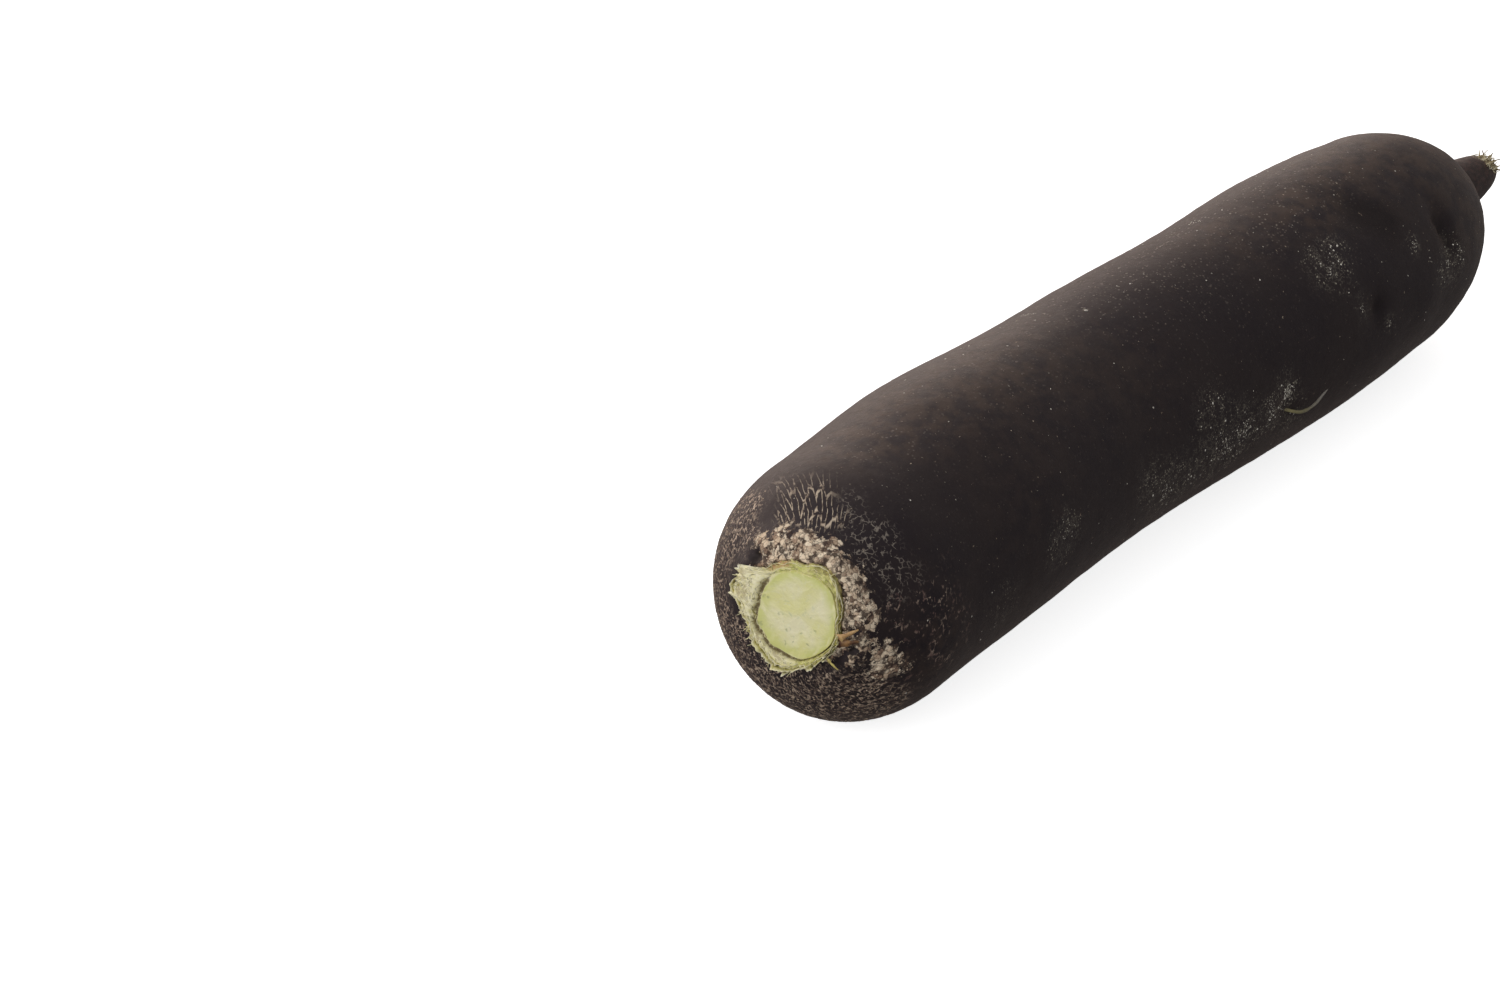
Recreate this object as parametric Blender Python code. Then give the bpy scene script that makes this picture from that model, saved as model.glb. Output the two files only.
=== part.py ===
"""Long black radish, lying on its side: the swollen root and the cut stump of its leaf rosette.

The root runs along +X from the cut crown to the snapped tail and lies on the plane z = 0. Metres, +Z up.
Along is the distance from the crown. Around is the angle from the top line towards -Y. At the end both
pieces are moved so that the origin is under the middle of the whole radish.
"""
import math

import bmesh
import bpy
import numpy as np
from mathutils import Matrix, Vector

# Driving sizes of the swollen root, without its tail
ROOT_LENGTH = 0.2645
CROWN_ROUND = 0.032
CROWN_SQUARE = 2.15
END_ROUND = 0.041
END_SQUARE = 2.3

# Stations are (share of ROOT_LENGTH, metres)
RADIUS = ((0.00, 0.0295), (0.11, 0.0280), (0.24, 0.0284), (0.40, 0.0268), (0.53, 0.0268),
          (0.64, 0.0269), (0.74, 0.0273), (0.86, 0.0260), (1.00, 0.0244))
SIDE_BEND = ((0.00, -0.0019), (0.15, 0.0009), (0.35, 0.0017),
             (0.60, 0.0003), (0.80, -0.0008), (1.00, -0.0014))
UNDERSIDE = ((0.00, -0.0011), (0.18, -0.0006), (0.45, 0.0011),
             (0.72, -0.0006), (0.86, 0.0006), (1.00, 0.0023))

# Tail stub, snapped off short
TAIL_LENGTH = 0.0233
TAIL_RADIUS = 0.0063
TAIL_SQUARE = 2.2
TAIL_FLARE = 0.0020
TAIL_FLARE_REACH = 0.0035
TAIL_FILLET = 0.0018
TAIL_TIP_ROUND = 0.003
TAIL_SWERVE = -0.0008
TAIL_DROOP = -0.0003

# Low lobes of the girth: (count round it, share of the radius, phase, drift in turns along the root)
LOBES = ((2, 0.006, 0.9, 0.35), (3, 0.004, 2.3, -0.5))

# Hollows (-) and swellings (+) of the skin: (along, around in degrees, reach along, reach around, height)
SKIN_FORMS = (
    (0.203, 32, 0.0080, 0.0070, -0.0011),
    (0.227, 62, 0.0030, 0.0075, -0.0014),
    (0.193, 77, 0.0045, 0.0045, -0.0007),
    (0.215, 88, 0.0070, 0.0060, 0.0006),
    (0.156, 96, 0.0060, 0.0050, -0.0005),
    (0.092, -82, 0.0060, 0.0060, -0.0006),
    (0.187, -95, 0.0060, 0.0070, -0.0009),
    (0.232, -48, 0.0050, 0.0080, -0.0010),
)

# Leaf stump: its middle across and above the root's axis at the crown, and how its face leans
STUMP_ACROSS = -0.0043
STUMP_ABOVE = 0.0060
STUMP_LEAN_ACROSS = -0.11
STUMP_LEAN_UP = 0.16
STUMP_RADIUS = 0.0108
STUMP_POCKET_DEPTH = 0.0034
STUMP_FACE_HEIGHT = 0.0012
POCKET_GAP = 0.0003
POCKET_CLEARANCE = 0.012

# Outline of the stump: torn waves (count round the rim, share of the radius, phase)
# and the three leaf bases that widen it (angle on the rim, half width in degrees, reach)
STUMP_WAVES = ((5, 0.018, 1.0), (9, 0.016, 0.3), (14, 0.012, 4.0))
LEAF_BASES = ((17, 19, 0.0040), (126, 30, 0.0024), (-75, 28, 0.0012))

# Section of the stump from its middle out: (share of the radius, height over the cut face)
STUMP_SECTION = ((0.12, 0.0001), (0.28, 0.0002), (0.44, 0.0002), (0.58, 0.0001), (0.70, -0.0002),
                 (0.77, -0.0010), (0.84, -0.0006), (0.90, 0.0007), (0.95, 0.0010), (1.00, 0.0003))
STUMP_WALL = 0.93
FACE_SHIFT = (-0.0019, 0.0008)
FACE_SHARE = 0.70
FRILL_HEIGHT = 0.0005
FRILL_START = 0.78
# Waves of the frill: (count round the rim, share of its height, phase)
FRILL_WAVES = ((11, 1.0, 0.7), (19, 0.6, 2.1))

# Corky collar round the stump, strongest on one side
COLLAR_RADIUS = 0.0146
COLLAR_WIDTH = 0.0029
COLLAR_HEIGHT = 0.0032
COLLAR_SIDE = 135.0
COLLAR_LEAST = 0.08
COLLAR_FADE = 0.002

# Dried leaf base at the stump's edge: its angle on the rim, its heading, and its sizes
SCALE_ANGLE = 198.0
SCALE_ROOTED = 0.86
SCALE_SUNK = 0.0008
SCALE_HEADING = 145.0
SCALE_LENGTH = 0.0070
SCALE_WIDTH = 0.0030
SCALE_TIP_WIDTH = 0.0008
SCALE_THICK = 0.0009
SCALE_RISE = 38.0
SCALE_CURL = -65.0

# Rootlets, in the two rows where side roots grow.
# The points of a route are (along, around in degrees, lift off the skin).
ROOTLETS = {
    "front": ((0.1555, 100, -0.0022), (0.1580, 101.5, 0.0006), (0.1620, 104, 0.0012),
              (0.1665, 103, 0.0013), (0.1705, 99, 0.0012)),
    "back_near": ((0.0920, -80, -0.0022), (0.0928, -78, 0.0008), (0.0950, -73, 0.0012),
                  (0.0990, -69, 0.0010)),
    "back_far": ((0.1870, -97, -0.0022), (0.1886, -97, 0.0008), (0.1930, -99, 0.0012),
                 (0.1975, -105, 0.0011)),
}
ROOTLET_RADIUS = 0.00055
ROOTLET_TIP_RADIUS = 0.00035

# Mesh density
SIDES = 48
RING_STEPS = ((0.048, 18), (0.225, 26), (0.290, 20), (0.999, 10))
SAMPLES = 20000
STUMP_SIDES = 60
STUMP_WALL_RINGS = 3
SCALE_STEPS = 6
ROOTLET_SIDES = 6
ROOTLET_STEPS = 9
SHARP_ANGLE = 50

SKIN_COLOUR = (0.028, 0.022, 0.020)
SKIN_ROUGHNESS = 0.62
FLESH_COLOUR = (0.62, 0.60, 0.30)
FLESH_ROUGHNESS = 0.50


def clear_scene():
    for old in list(bpy.data.objects):
        bpy.data.objects.remove(old, do_unlink=True)


def through(stations, share):
    """Smooth curve through the stations."""
    shares, values = np.array(stations, float).T
    slopes = np.gradient(values, shares)
    i = np.clip(np.searchsorted(shares, share) - 1, 0, len(shares) - 2)
    step = shares[i + 1] - shares[i]
    t = np.clip((share - shares[i]) / step, 0, 1)
    start = (2 * t**3 - 3 * t**2 + 1) * values[i] + (t**3 - 2 * t**2 + t) * step * slopes[i]
    finish = (3 * t**2 - 2 * t**3) * values[i + 1] + (t**3 - t**2) * step * slopes[i + 1]
    return start + finish


def rounded(distance, length, square):
    """Share of the full radius at this distance from a rounded end."""
    rest = 1 - np.clip(distance / length, 0, 1)
    return np.maximum(1 - rest**square, 0) ** (1 / square)


def smooth_max(a, b, fillet):
    near = np.maximum(fillet - np.abs(a - b), 0) / fillet
    return np.maximum(a, b) + near * near * fillet / 4


def share_of(along):
    return np.clip(along / ROOT_LENGTH, 0, 1)


def radius_at(along):
    """Radius of the root and its tail stub."""
    ends = rounded(along, CROWN_ROUND, CROWN_SQUARE) * rounded(ROOT_LENGTH - along, END_ROUND, END_SQUARE)
    root = through(RADIUS, share_of(along)) * ends
    flare = TAIL_FLARE * np.exp(-np.abs(along - ROOT_LENGTH) / TAIL_FLARE_REACH)
    tail = TAIL_RADIUS * rounded(ROOT_LENGTH + TAIL_LENGTH - along, TAIL_LENGTH, TAIL_SQUARE) + flare
    tail = tail * rounded(ROOT_LENGTH + TAIL_LENGTH - along, TAIL_TIP_ROUND, 2)
    return np.where(along > ROOT_LENGTH - END_ROUND / 2, smooth_max(root, tail, TAIL_FILLET), root)


def tail_share(along):
    return np.clip((along - ROOT_LENGTH + TAIL_FLARE_REACH) / TAIL_LENGTH, 0, 1)


def spine_side(along):
    return through(SIDE_BEND, share_of(along)) + TAIL_SWERVE * tail_share(along)


def spine_height(along):
    """Height of the axis, so that the underside follows its stations."""
    height = through(RADIUS, share_of(along)) + through(UNDERSIDE, share_of(along))
    return height + TAIL_DROOP * tail_share(along)


def lobes(along, around):
    total = 0
    for count, share, phase, drift in LOBES:
        total = total + share * np.cos(count * around + phase + 2 * math.pi * drift * along / ROOT_LENGTH)
    return total


def skin_forms(along, around):
    total = 0
    for place, angle, reach_along, reach_around, height in SKIN_FORMS:
        turn = np.angle(np.exp(1j * (around - math.radians(angle))))
        arc = turn * radius_at(np.array(place))
        total = total + height * np.exp(-(((along - place) / reach_along) ** 2) - (arc / reach_around) ** 2)
    return total


def stump_frame():
    """Middle of the stump on the skin, its outward direction, and its across and up directions."""
    outward = Vector((-1, STUMP_LEAN_ACROSS, STUMP_LEAN_UP)).normalized()
    offset = math.hypot(STUMP_ACROSS, STUMP_ABOVE)
    alongs = np.linspace(0, CROWN_ROUND, SAMPLES)
    along = float(np.interp(offset, radius_at(alongs), alongs))
    across = spine_side(np.array(0.0)) + STUMP_ACROSS
    height = spine_height(np.array(0.0)) + STUMP_ABOVE
    middle = Vector((along, float(across), float(height)))
    up = (Vector((0, 0, 1)) - outward * outward.z).normalized()
    return middle, outward, outward.cross(up), up


def collar(points):
    """Rise of the corky collar at these points of the crown."""
    middle, outward, across, up = (np.array(v) for v in stump_frame())
    a = (points - middle) @ across
    b = (points - middle) @ up
    facing = 0.5 + 0.5 * np.cos(np.arctan2(b, a) - math.radians(COLLAR_SIDE))
    share = COLLAR_LEAST + (1 - COLLAR_LEAST) * facing
    ridge = np.exp(-(((np.hypot(a, b) - COLLAR_RADIUS) / COLLAR_WIDTH) ** 2))
    on_crown = 1 / (1 + np.exp((points[..., 0] - CROWN_ROUND / 2) / COLLAR_FADE))
    return (COLLAR_HEIGHT * ridge * share * on_crown)[..., None] * outward


def skin(along, around):
    """Points of the root's skin."""
    radius = radius_at(along) * (1 + lobes(along, around)) + skin_forms(along, around)
    radius = np.where(radius_at(along) > 0, radius, 0)
    y = spine_side(along) - radius * np.sin(around)
    z = spine_height(along) + radius * np.cos(around)
    points = np.stack([along + 0 * around, y, z], -1)
    return points + collar(points)


def over_skin(along, around, lift):
    """Point at this height over the skin."""
    point = Vector(skin(np.array(along), np.array(around)))
    return point + Vector((0, -math.sin(around), math.cos(around))) * lift


def ring_places():
    """Places of the rings, evenly spaced along the outline within each of RING_STEPS."""
    full = ROOT_LENGTH + TAIL_LENGTH
    fine = full * (0.5 - 0.5 * np.cos(np.linspace(0, math.pi, SAMPLES)))
    travel = np.concatenate([[0], np.cumsum(np.hypot(np.diff(fine), np.diff(radius_at(fine))))])
    stops = [0.0]
    for finish, steps in RING_STEPS:
        finish = min(finish, travel[-1])
        stops += list(np.linspace(stops[-1], finish, steps + 1)[1:])
    return np.interp(stops, travel, fine)[1:-1]


def add_object(name, mesh_builder, material):
    mesh = bpy.data.meshes.new(name)
    mesh_builder.to_mesh(mesh)
    mesh_builder.free()
    mesh.shade_smooth()
    mesh.set_sharp_from_angle(angle=math.radians(SHARP_ANGLE))
    thing = bpy.data.objects.new(name, mesh)
    bpy.context.scene.collection.objects.link(thing)
    if material:
        mesh.materials.append(material)
    return thing


def closed_by_poles(rings, first_pole, last_pole):
    """Mesh of rings of points, closed by a fan to a pole at each end."""
    builder = bmesh.new()
    loops = [[builder.verts.new(p) for p in ring] for ring in rings]
    poles = builder.verts.new(first_pole), builder.verts.new(last_pole)
    sides = len(loops[0])
    for k in range(sides):
        n = (k + 1) % sides
        builder.faces.new((poles[0], loops[0][n], loops[0][k]))
        builder.faces.new((poles[1], loops[-1][k], loops[-1][n]))
        for low, high in zip(loops, loops[1:]):
            builder.faces.new((low[k], low[n], high[n], high[k]))
    bmesh.ops.recalc_face_normals(builder, faces=builder.faces)
    return builder


def closed_by_middles(rings):
    """Mesh of rings of points, closed at each end by a fan to the end ring's middle."""
    first, last = (sum(ring, Vector()) / len(ring) for ring in (rings[0], rings[-1]))
    return closed_by_poles(rings, first, last)


def make_material(name, colour, roughness):
    material = bpy.data.materials.new(name)
    material.use_nodes = True
    shader = material.node_tree.nodes["Principled BSDF"]
    shader.inputs["Base Color"].default_value = (*colour, 1)
    shader.inputs["Roughness"].default_value = roughness
    shader.inputs["Metallic"].default_value = 0
    return material


def make_root(material):
    """Swollen root with its tail stub, cut flat where it lies on the ground."""
    around = np.linspace(0, 2 * math.pi, SIDES, endpoint=False)
    rings = [skin(np.full(SIDES, along), around) for along in ring_places()]
    crown = skin(np.array(0.0), np.array(0.0))
    tail = skin(np.array(ROOT_LENGTH + TAIL_LENGTH), np.array(0.0))
    builder = closed_by_poles(rings, crown, tail)
    everything = builder.verts[:] + builder.edges[:] + builder.faces[:]
    ground = {"plane_co": (0, 0, 0), "plane_no": (0, 0, -1)}
    cut = bmesh.ops.bisect_plane(builder, geom=everything, clear_outer=True, **ground)
    rim = [edge for edge in cut["geom_cut"] if isinstance(edge, bmesh.types.BMEdge)]
    bmesh.ops.holes_fill(builder, edges=rim, sides=0)
    bmesh.ops.recalc_face_normals(builder, faces=builder.faces)
    return add_object("root", builder, material)


def stump_radius(angle):
    torn = sum(share * math.cos(count * angle + phase) for count, share, phase in STUMP_WAVES)
    radius = STUMP_RADIUS * (1 + torn)
    for place, half_width, reach in LEAF_BASES:
        off = math.remainder(angle - math.radians(place), 2 * math.pi)
        radius += reach * math.exp(-((math.degrees(off) / half_width) ** 2))
    return radius


def stump_point(share, angle, height):
    """Point of the stump: share of its radius, angle on its face, height over the skin at its middle."""
    middle, outward, across, up = stump_frame()
    distance = stump_radius(angle) * share
    shifted = min(1.0, (1 - share) / (1 - FACE_SHARE))
    a = distance * math.cos(angle) + FACE_SHIFT[0] * shifted
    b = distance * math.sin(angle) + FACE_SHIFT[1] * shifted
    return middle + across * a + up * b + outward * height


def frill(share, angle):
    """Torn unevenness of the rim, fading out towards the middle."""
    near_rim = max(0.0, (share - FRILL_START) / (1 - FRILL_START))
    return FRILL_HEIGHT * near_rim * sum(s * math.sin(count * angle + phase) for count, s, phase in FRILL_WAVES)


def make_stump(material):
    """Cut stump: pale face, groove, torn rim, and a wall down into the crown's pocket."""
    angles = np.linspace(0, 2 * math.pi, STUMP_SIDES, endpoint=False)
    rings = []
    for share, rise in STUMP_SECTION:
        rings.append([stump_point(share, a, STUMP_FACE_HEIGHT + rise + frill(share, a)) for a in angles])
    floor = -STUMP_POCKET_DEPTH + POCKET_GAP
    for height in np.linspace(0, floor, STUMP_WALL_RINGS):
        rings.append([stump_point(STUMP_WALL, a, height) for a in angles])
    top = stump_point(0, 0, STUMP_FACE_HEIGHT)
    bottom = stump_point(0, 0, floor)
    return add_object("leaf_stump", closed_by_poles(rings, top, bottom), material)


def make_scale():
    """Dried leaf base: a small curled tongue that starts inside the stump's rim."""
    middle, outward, across, up = stump_frame()
    heading = math.radians(SCALE_HEADING)
    away = across * math.cos(heading) + up * math.sin(heading)
    aside = outward.cross(away)
    centre = stump_point(SCALE_ROOTED, math.radians(SCALE_ANGLE), STUMP_FACE_HEIGHT - SCALE_SUNK)
    rings = []
    for t in np.linspace(0, 1, SCALE_STEPS):
        bend = math.radians(SCALE_RISE + SCALE_CURL * t)
        direction = away * math.cos(bend) + outward * math.sin(bend)
        half_width = aside * (SCALE_WIDTH + (SCALE_TIP_WIDTH - SCALE_WIDTH) * t * t) / 2
        half_thick = aside.cross(direction) * SCALE_THICK / 2
        rings.append([centre - half_width - half_thick, centre + half_width - half_thick,
                      centre + half_width + half_thick, centre - half_width + half_thick])
        centre = centre + direction * SCALE_LENGTH / (SCALE_STEPS - 1)
    return add_object("scale_tool", closed_by_middles(rings), None)


def make_pocket():
    """Cutter for the pocket that the stump sits in."""
    angles = np.linspace(0, 2 * math.pi, STUMP_SIDES, endpoint=False)
    rings = []
    for height in (-STUMP_POCKET_DEPTH, POCKET_CLEARANCE):
        ring = []
        for a in angles:
            share = STUMP_WALL + POCKET_GAP / stump_radius(a)
            ring.append(stump_point(share, a, height))
        rings.append(ring)
    ends = stump_point(0, 0, -STUMP_POCKET_DEPTH), stump_point(0, 0, POCKET_CLEARANCE)
    return add_object("pocket_tool", closed_by_poles(rings, *ends), None)


def make_rootlet(name, route):
    """Thin side root that leaves the skin at a low angle and lies along it."""
    stops = np.linspace(0, 1, len(route))
    along, around, lift = (tuple(zip(stops, values)) for values in zip(*route))
    shares = np.linspace(0, 1, ROOTLET_STEPS)
    arounds = [math.radians(through(around, t)) for t in shares]
    centres = [over_skin(through(along, t), a, through(lift, t)) for t, a in zip(shares, arounds)]
    aside = (centres[1] - centres[0]).orthogonal()
    rings = []
    for step, t in enumerate(shares):
        direction = centres[min(step + 1, ROOTLET_STEPS - 1)] - centres[max(step - 1, 0)]
        aside = (aside - aside.project(direction)).normalized()
        face = direction.normalized().cross(aside)
        size = ROOTLET_RADIUS + (ROOTLET_TIP_RADIUS - ROOTLET_RADIUS) * t
        turns = [2 * math.pi * k / ROOTLET_SIDES for k in range(ROOTLET_SIDES)]
        rings.append([centres[step] + (aside * math.cos(a) + face * math.sin(a)) * size for a in turns])
    return add_object(f"rootlet_{name}", closed_by_middles(rings), None)


def combine(thing, tool, operation):
    """Boolean of a hidden tool on a piece."""
    tool.hide_render = True
    tool.display_type = "WIRE"
    boolean = thing.modifiers.new(tool.name, "BOOLEAN")
    boolean.operation = operation
    boolean.solver = "EXACT"
    boolean.object = tool


def world_bounds(things):
    """Lowest and highest corner of the finished pieces."""
    graph = bpy.context.evaluated_depsgraph_get()
    corners = []
    for thing in things:
        finished = thing.evaluated_get(graph)
        mesh = finished.to_mesh()
        corners += [thing.matrix_world @ vertex.co for vertex in mesh.vertices]
        finished.to_mesh_clear()
    corners = np.array(corners)
    return corners.min(axis=0), corners.max(axis=0)


def main():
    clear_scene()
    root = make_root(make_material("black_skin", SKIN_COLOUR, SKIN_ROUGHNESS))
    stump = make_stump(make_material("pale_green_flesh", FLESH_COLOUR, FLESH_ROUGHNESS))
    scale = make_scale()
    pocket = make_pocket()
    rootlets = [make_rootlet(name, route) for name, route in ROOTLETS.items()]
    combine(stump, scale, "UNION")
    for rootlet in rootlets:
        combine(root, rootlet, "UNION")
    combine(root, pocket, "DIFFERENCE")
    bpy.context.view_layer.update()
    low, high = world_bounds((root, stump))
    lying = bpy.data.objects.new("lying_radish", None)
    bpy.context.scene.collection.objects.link(lying)
    for thing in (root, stump, scale, pocket, *rootlets):
        thing.parent = lying
    lying.matrix_world = Matrix.Translation(((-low[0] - high[0]) / 2, (-low[1] - high[1]) / 2, 0))


main()
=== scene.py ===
"""Looks of the black radish: fine skin, cut leaf stump, rootlets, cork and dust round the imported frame."""

import math

import bmesh
import bpy
import numpy as np
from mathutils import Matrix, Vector, noise


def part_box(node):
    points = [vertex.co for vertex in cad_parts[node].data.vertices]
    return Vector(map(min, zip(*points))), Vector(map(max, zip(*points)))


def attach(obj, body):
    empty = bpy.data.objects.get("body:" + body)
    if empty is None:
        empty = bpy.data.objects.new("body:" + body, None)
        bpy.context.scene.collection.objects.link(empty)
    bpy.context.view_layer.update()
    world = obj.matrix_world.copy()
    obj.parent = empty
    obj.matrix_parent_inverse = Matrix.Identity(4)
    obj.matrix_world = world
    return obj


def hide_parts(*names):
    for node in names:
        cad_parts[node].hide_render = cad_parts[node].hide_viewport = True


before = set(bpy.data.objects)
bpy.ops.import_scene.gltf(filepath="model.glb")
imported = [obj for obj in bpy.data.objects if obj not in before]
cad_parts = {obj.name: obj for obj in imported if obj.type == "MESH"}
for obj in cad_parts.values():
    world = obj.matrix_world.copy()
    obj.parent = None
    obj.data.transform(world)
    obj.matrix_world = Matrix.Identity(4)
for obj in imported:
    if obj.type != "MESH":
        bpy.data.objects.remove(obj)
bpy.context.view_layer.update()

MM = 0.001

# Form of the root, with the same values as the part's source. Metres
ROOT_LENGTH = 0.2645
CROWN_ROUND = 0.032
CROWN_SQUARE = 2.15
END_ROUND = 0.041
END_SQUARE = 2.3
RADIUS = ((0.00, 0.0295), (0.11, 0.0280), (0.24, 0.0284), (0.40, 0.0268), (0.53, 0.0268),
          (0.64, 0.0269), (0.74, 0.0273), (0.86, 0.0260), (1.00, 0.0244))
SIDE_BEND = ((0.00, -0.0019), (0.15, 0.0009), (0.35, 0.0017),
             (0.60, 0.0003), (0.80, -0.0008), (1.00, -0.0014))
UNDERSIDE = ((0.00, -0.0011), (0.18, -0.0006), (0.45, 0.0011),
             (0.72, -0.0006), (0.86, 0.0006), (1.00, 0.0023))
TAIL_LENGTH = 0.0233
TAIL_RADIUS = 0.0063
TAIL_SQUARE = 2.2
TAIL_FLARE = 0.0020
TAIL_FLARE_REACH = 0.0035
TAIL_FILLET = 0.0018
TAIL_TIP_ROUND = 0.003
TAIL_SWERVE = -0.0008
TAIL_DROOP = -0.0003
FULL_LENGTH = ROOT_LENGTH + TAIL_LENGTH
LOBES = ((2, 0.006, 0.9, 0.35), (3, 0.004, 2.3, -0.5))
SKIN_FORMS = (
    (0.203, 32, 0.0080, 0.0070, -0.0011),
    (0.227, 62, 0.0030, 0.0075, -0.0014),
    (0.193, 77, 0.0045, 0.0045, -0.0007),
    (0.215, 88, 0.0070, 0.0060, 0.0006),
    (0.156, 96, 0.0060, 0.0050, -0.0005),
    (0.092, -82, 0.0060, 0.0060, -0.0006),
    (0.187, -95, 0.0060, 0.0070, -0.0009),
    (0.232, -48, 0.0050, 0.0080, -0.0010),
)
SIDE_SHIFT = -0.00078
SHIFT = np.array([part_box("root")[1].x - FULL_LENGTH, SIDE_SHIFT, 0.0])

# Leaf stump and collar, with the same values as the part's source
STUMP_ACROSS = -0.0043
STUMP_ABOVE = 0.0060
STUMP_LEAN_ACROSS = -0.11
STUMP_LEAN_UP = 0.16
STUMP_RADIUS = 0.0108
STUMP_POCKET_DEPTH = 0.0034
STUMP_FACE_HEIGHT = 0.0012
POCKET_GAP = 0.0003
STUMP_WAVES = ((5, 0.018, 1.0), (9, 0.016, 0.3), (14, 0.012, 4.0))
LEAF_BASES = ((17, 19, 0.0040), (126, 30, 0.0024), (-75, 28, 0.0012))
STUMP_WALL = 0.93
FACE_SHIFT = (-0.0019, 0.0008)
FACE_SHARE = 0.70
COLLAR_RADIUS = 0.0146
COLLAR_WIDTH = 0.0029
COLLAR_HEIGHT = 0.0032
COLLAR_SIDE = 135.0
COLLAR_LEAST = 0.08
COLLAR_FADE = 0.002
SCALE_ANGLE = 198.0
SCALE_ROOTED = 0.86
SCALE_SUNK = 0.0008
SCALE_HEADING = 145.0
SCALE_LENGTH = 0.0070
SCALE_WIDTH = 0.0030
SCALE_RISE = 38.0
SCALE_CURL = -65.0
ROOTLETS = {
    "front": ((0.1555, 100, -0.0022), (0.1580, 101.5, 0.0006), (0.1620, 104, 0.0012),
              (0.1665, 103, 0.0013), (0.1705, 99, 0.0012)),
    "back_near": ((0.0920, -80, -0.0022), (0.0928, -78, 0.0008), (0.0950, -73, 0.0012),
                  (0.0990, -69, 0.0010)),
    "back_far": ((0.1870, -97, -0.0022), (0.1886, -97, 0.0008), (0.1930, -99, 0.0012),
                 (0.1975, -105, 0.0011)),
}
ROOTLET_RADIUS = 0.00055
ROOTLET_TIP_RADIUS = 0.00035

# Marks on the skin: (along, around in degrees, reach) in mm, and strength
CORK = (
    (4.9, -13.5, 2.2, 0.6), (5.9, -2.2, 2.6, 0.8), (6.6, 10, 2.6, 0.9), (7.2, 21, 2.6, 1.0),
    (7.8, 36, 2.6, 1.0), (8.4, 45, 2.1, 0.85), (8.9, 54, 2.3, 0.8), (7.6, 64, 2.4, 0.9),
    (8.7, 68, 2.4, 0.8), (6.6, 82, 2.4, 0.7), (9.5, 93, 3.0, 0.75), (12.6, 101, 2.8, 0.45),
    (9.0, 104, 2.8, 0.6), (5.5, 95, 2.3, 0.5), (6.3, -22, 2.4, 0.6), (8.8, 8, 2.4, 0.6),
    (8.2, -8, 2.2, 0.5), (10.3, 25, 2.4, 0.5), (11.3, 45, 2.2, 0.25),
)
GRANULAR = (
    (13.1, -37, 4.0, 0.6), (9.3, -46, 5.0, 0.6), (8.0, -60, 5.0, 0.45), (5.8, -83, 6.0, 0.45),
    (6.3, -29, 3.0, 0.6), (7.0, -105, 6.0, 0.45), (5.0, -130, 6.0, 0.55), (2.2, -169, 6.0, 1.0),
    (2.6, 156, 6.0, 1.0), (4.0, 130, 5.0, 1.0), (8.2, 129, 6.0, 1.0), (10.4, 147, 6.0, 0.8),
    (6.0, 180, 6.0, 0.9), (14.0, 125, 5.0, 0.5), (7.0, 112, 3.5, 0.6), (16.0, -48, 4.0, 0.4),
    (11, -160, 6.0, 0.5), (1.0, -128, 4.0, 0.8), (0.8, -155, 4.0, 0.8), (2.2, -105, 3.5, 0.8),
    (12, 170, 8.0, 0.45), (12, -125, 8.0, 0.45), (13, 150, 8.0, 0.35), (13, -90, 8.0, 0.40),
    (17, -65, 7.0, 0.25),
)
PITS = ((4.3, -23.5, 1.45, 1.3), (5.9, -31, 1.2, 0.8), (5.4, 88, 1.2, 0.8), (11.5, 62, 1.2, 0.5))
SCUFFS = (
    (138, 97, 7, 1.0), (132, 102, 7, 1.0), (149, 97, 5, 0.8), (110, 104, 7, 0.9), (102, 91, 6, 0.6),
    (69, 86, 5, 0.8), (65, 91, 5, 0.6), (124, 80, 6, 0.45), (129, 72, 5, 0.35), (121, 106, 7, 0.7),
    (155, 86, 4, 0.9), (157, 97, 4, 0.7), (160, 110, 8, 0.5), (182, 46, 6, 1.0), (188, 43, 4, 0.7),
    (197, 88, 3, 0.7), (228, 80, 6, 0.8), (222, 82, 4, 0.6), (213, 60, 2.5, 0.9), (188, 72, 4, 0.5),
    (100, -95, 12, 0.6), (190, -85, 10, 0.6), (60, -110, 12, 0.5), (150, -100, 12, 0.5), (45, 100, 8, 0.4),
)
DUSTY = (
    (176, -14, 14, 1.0), (190, -12, 14, 1.0), (109, -23, 9, 0.9), (150, -8, 18, 0.7), (128, 0, 16, 0.6),
    (200, 0, 12, 0.8), (80, -8, 20, 0.4), (40, 0, 14, 0.4), (219, -30, 10, 0.6), (165, -25, 12, 0.8),
)
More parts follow.
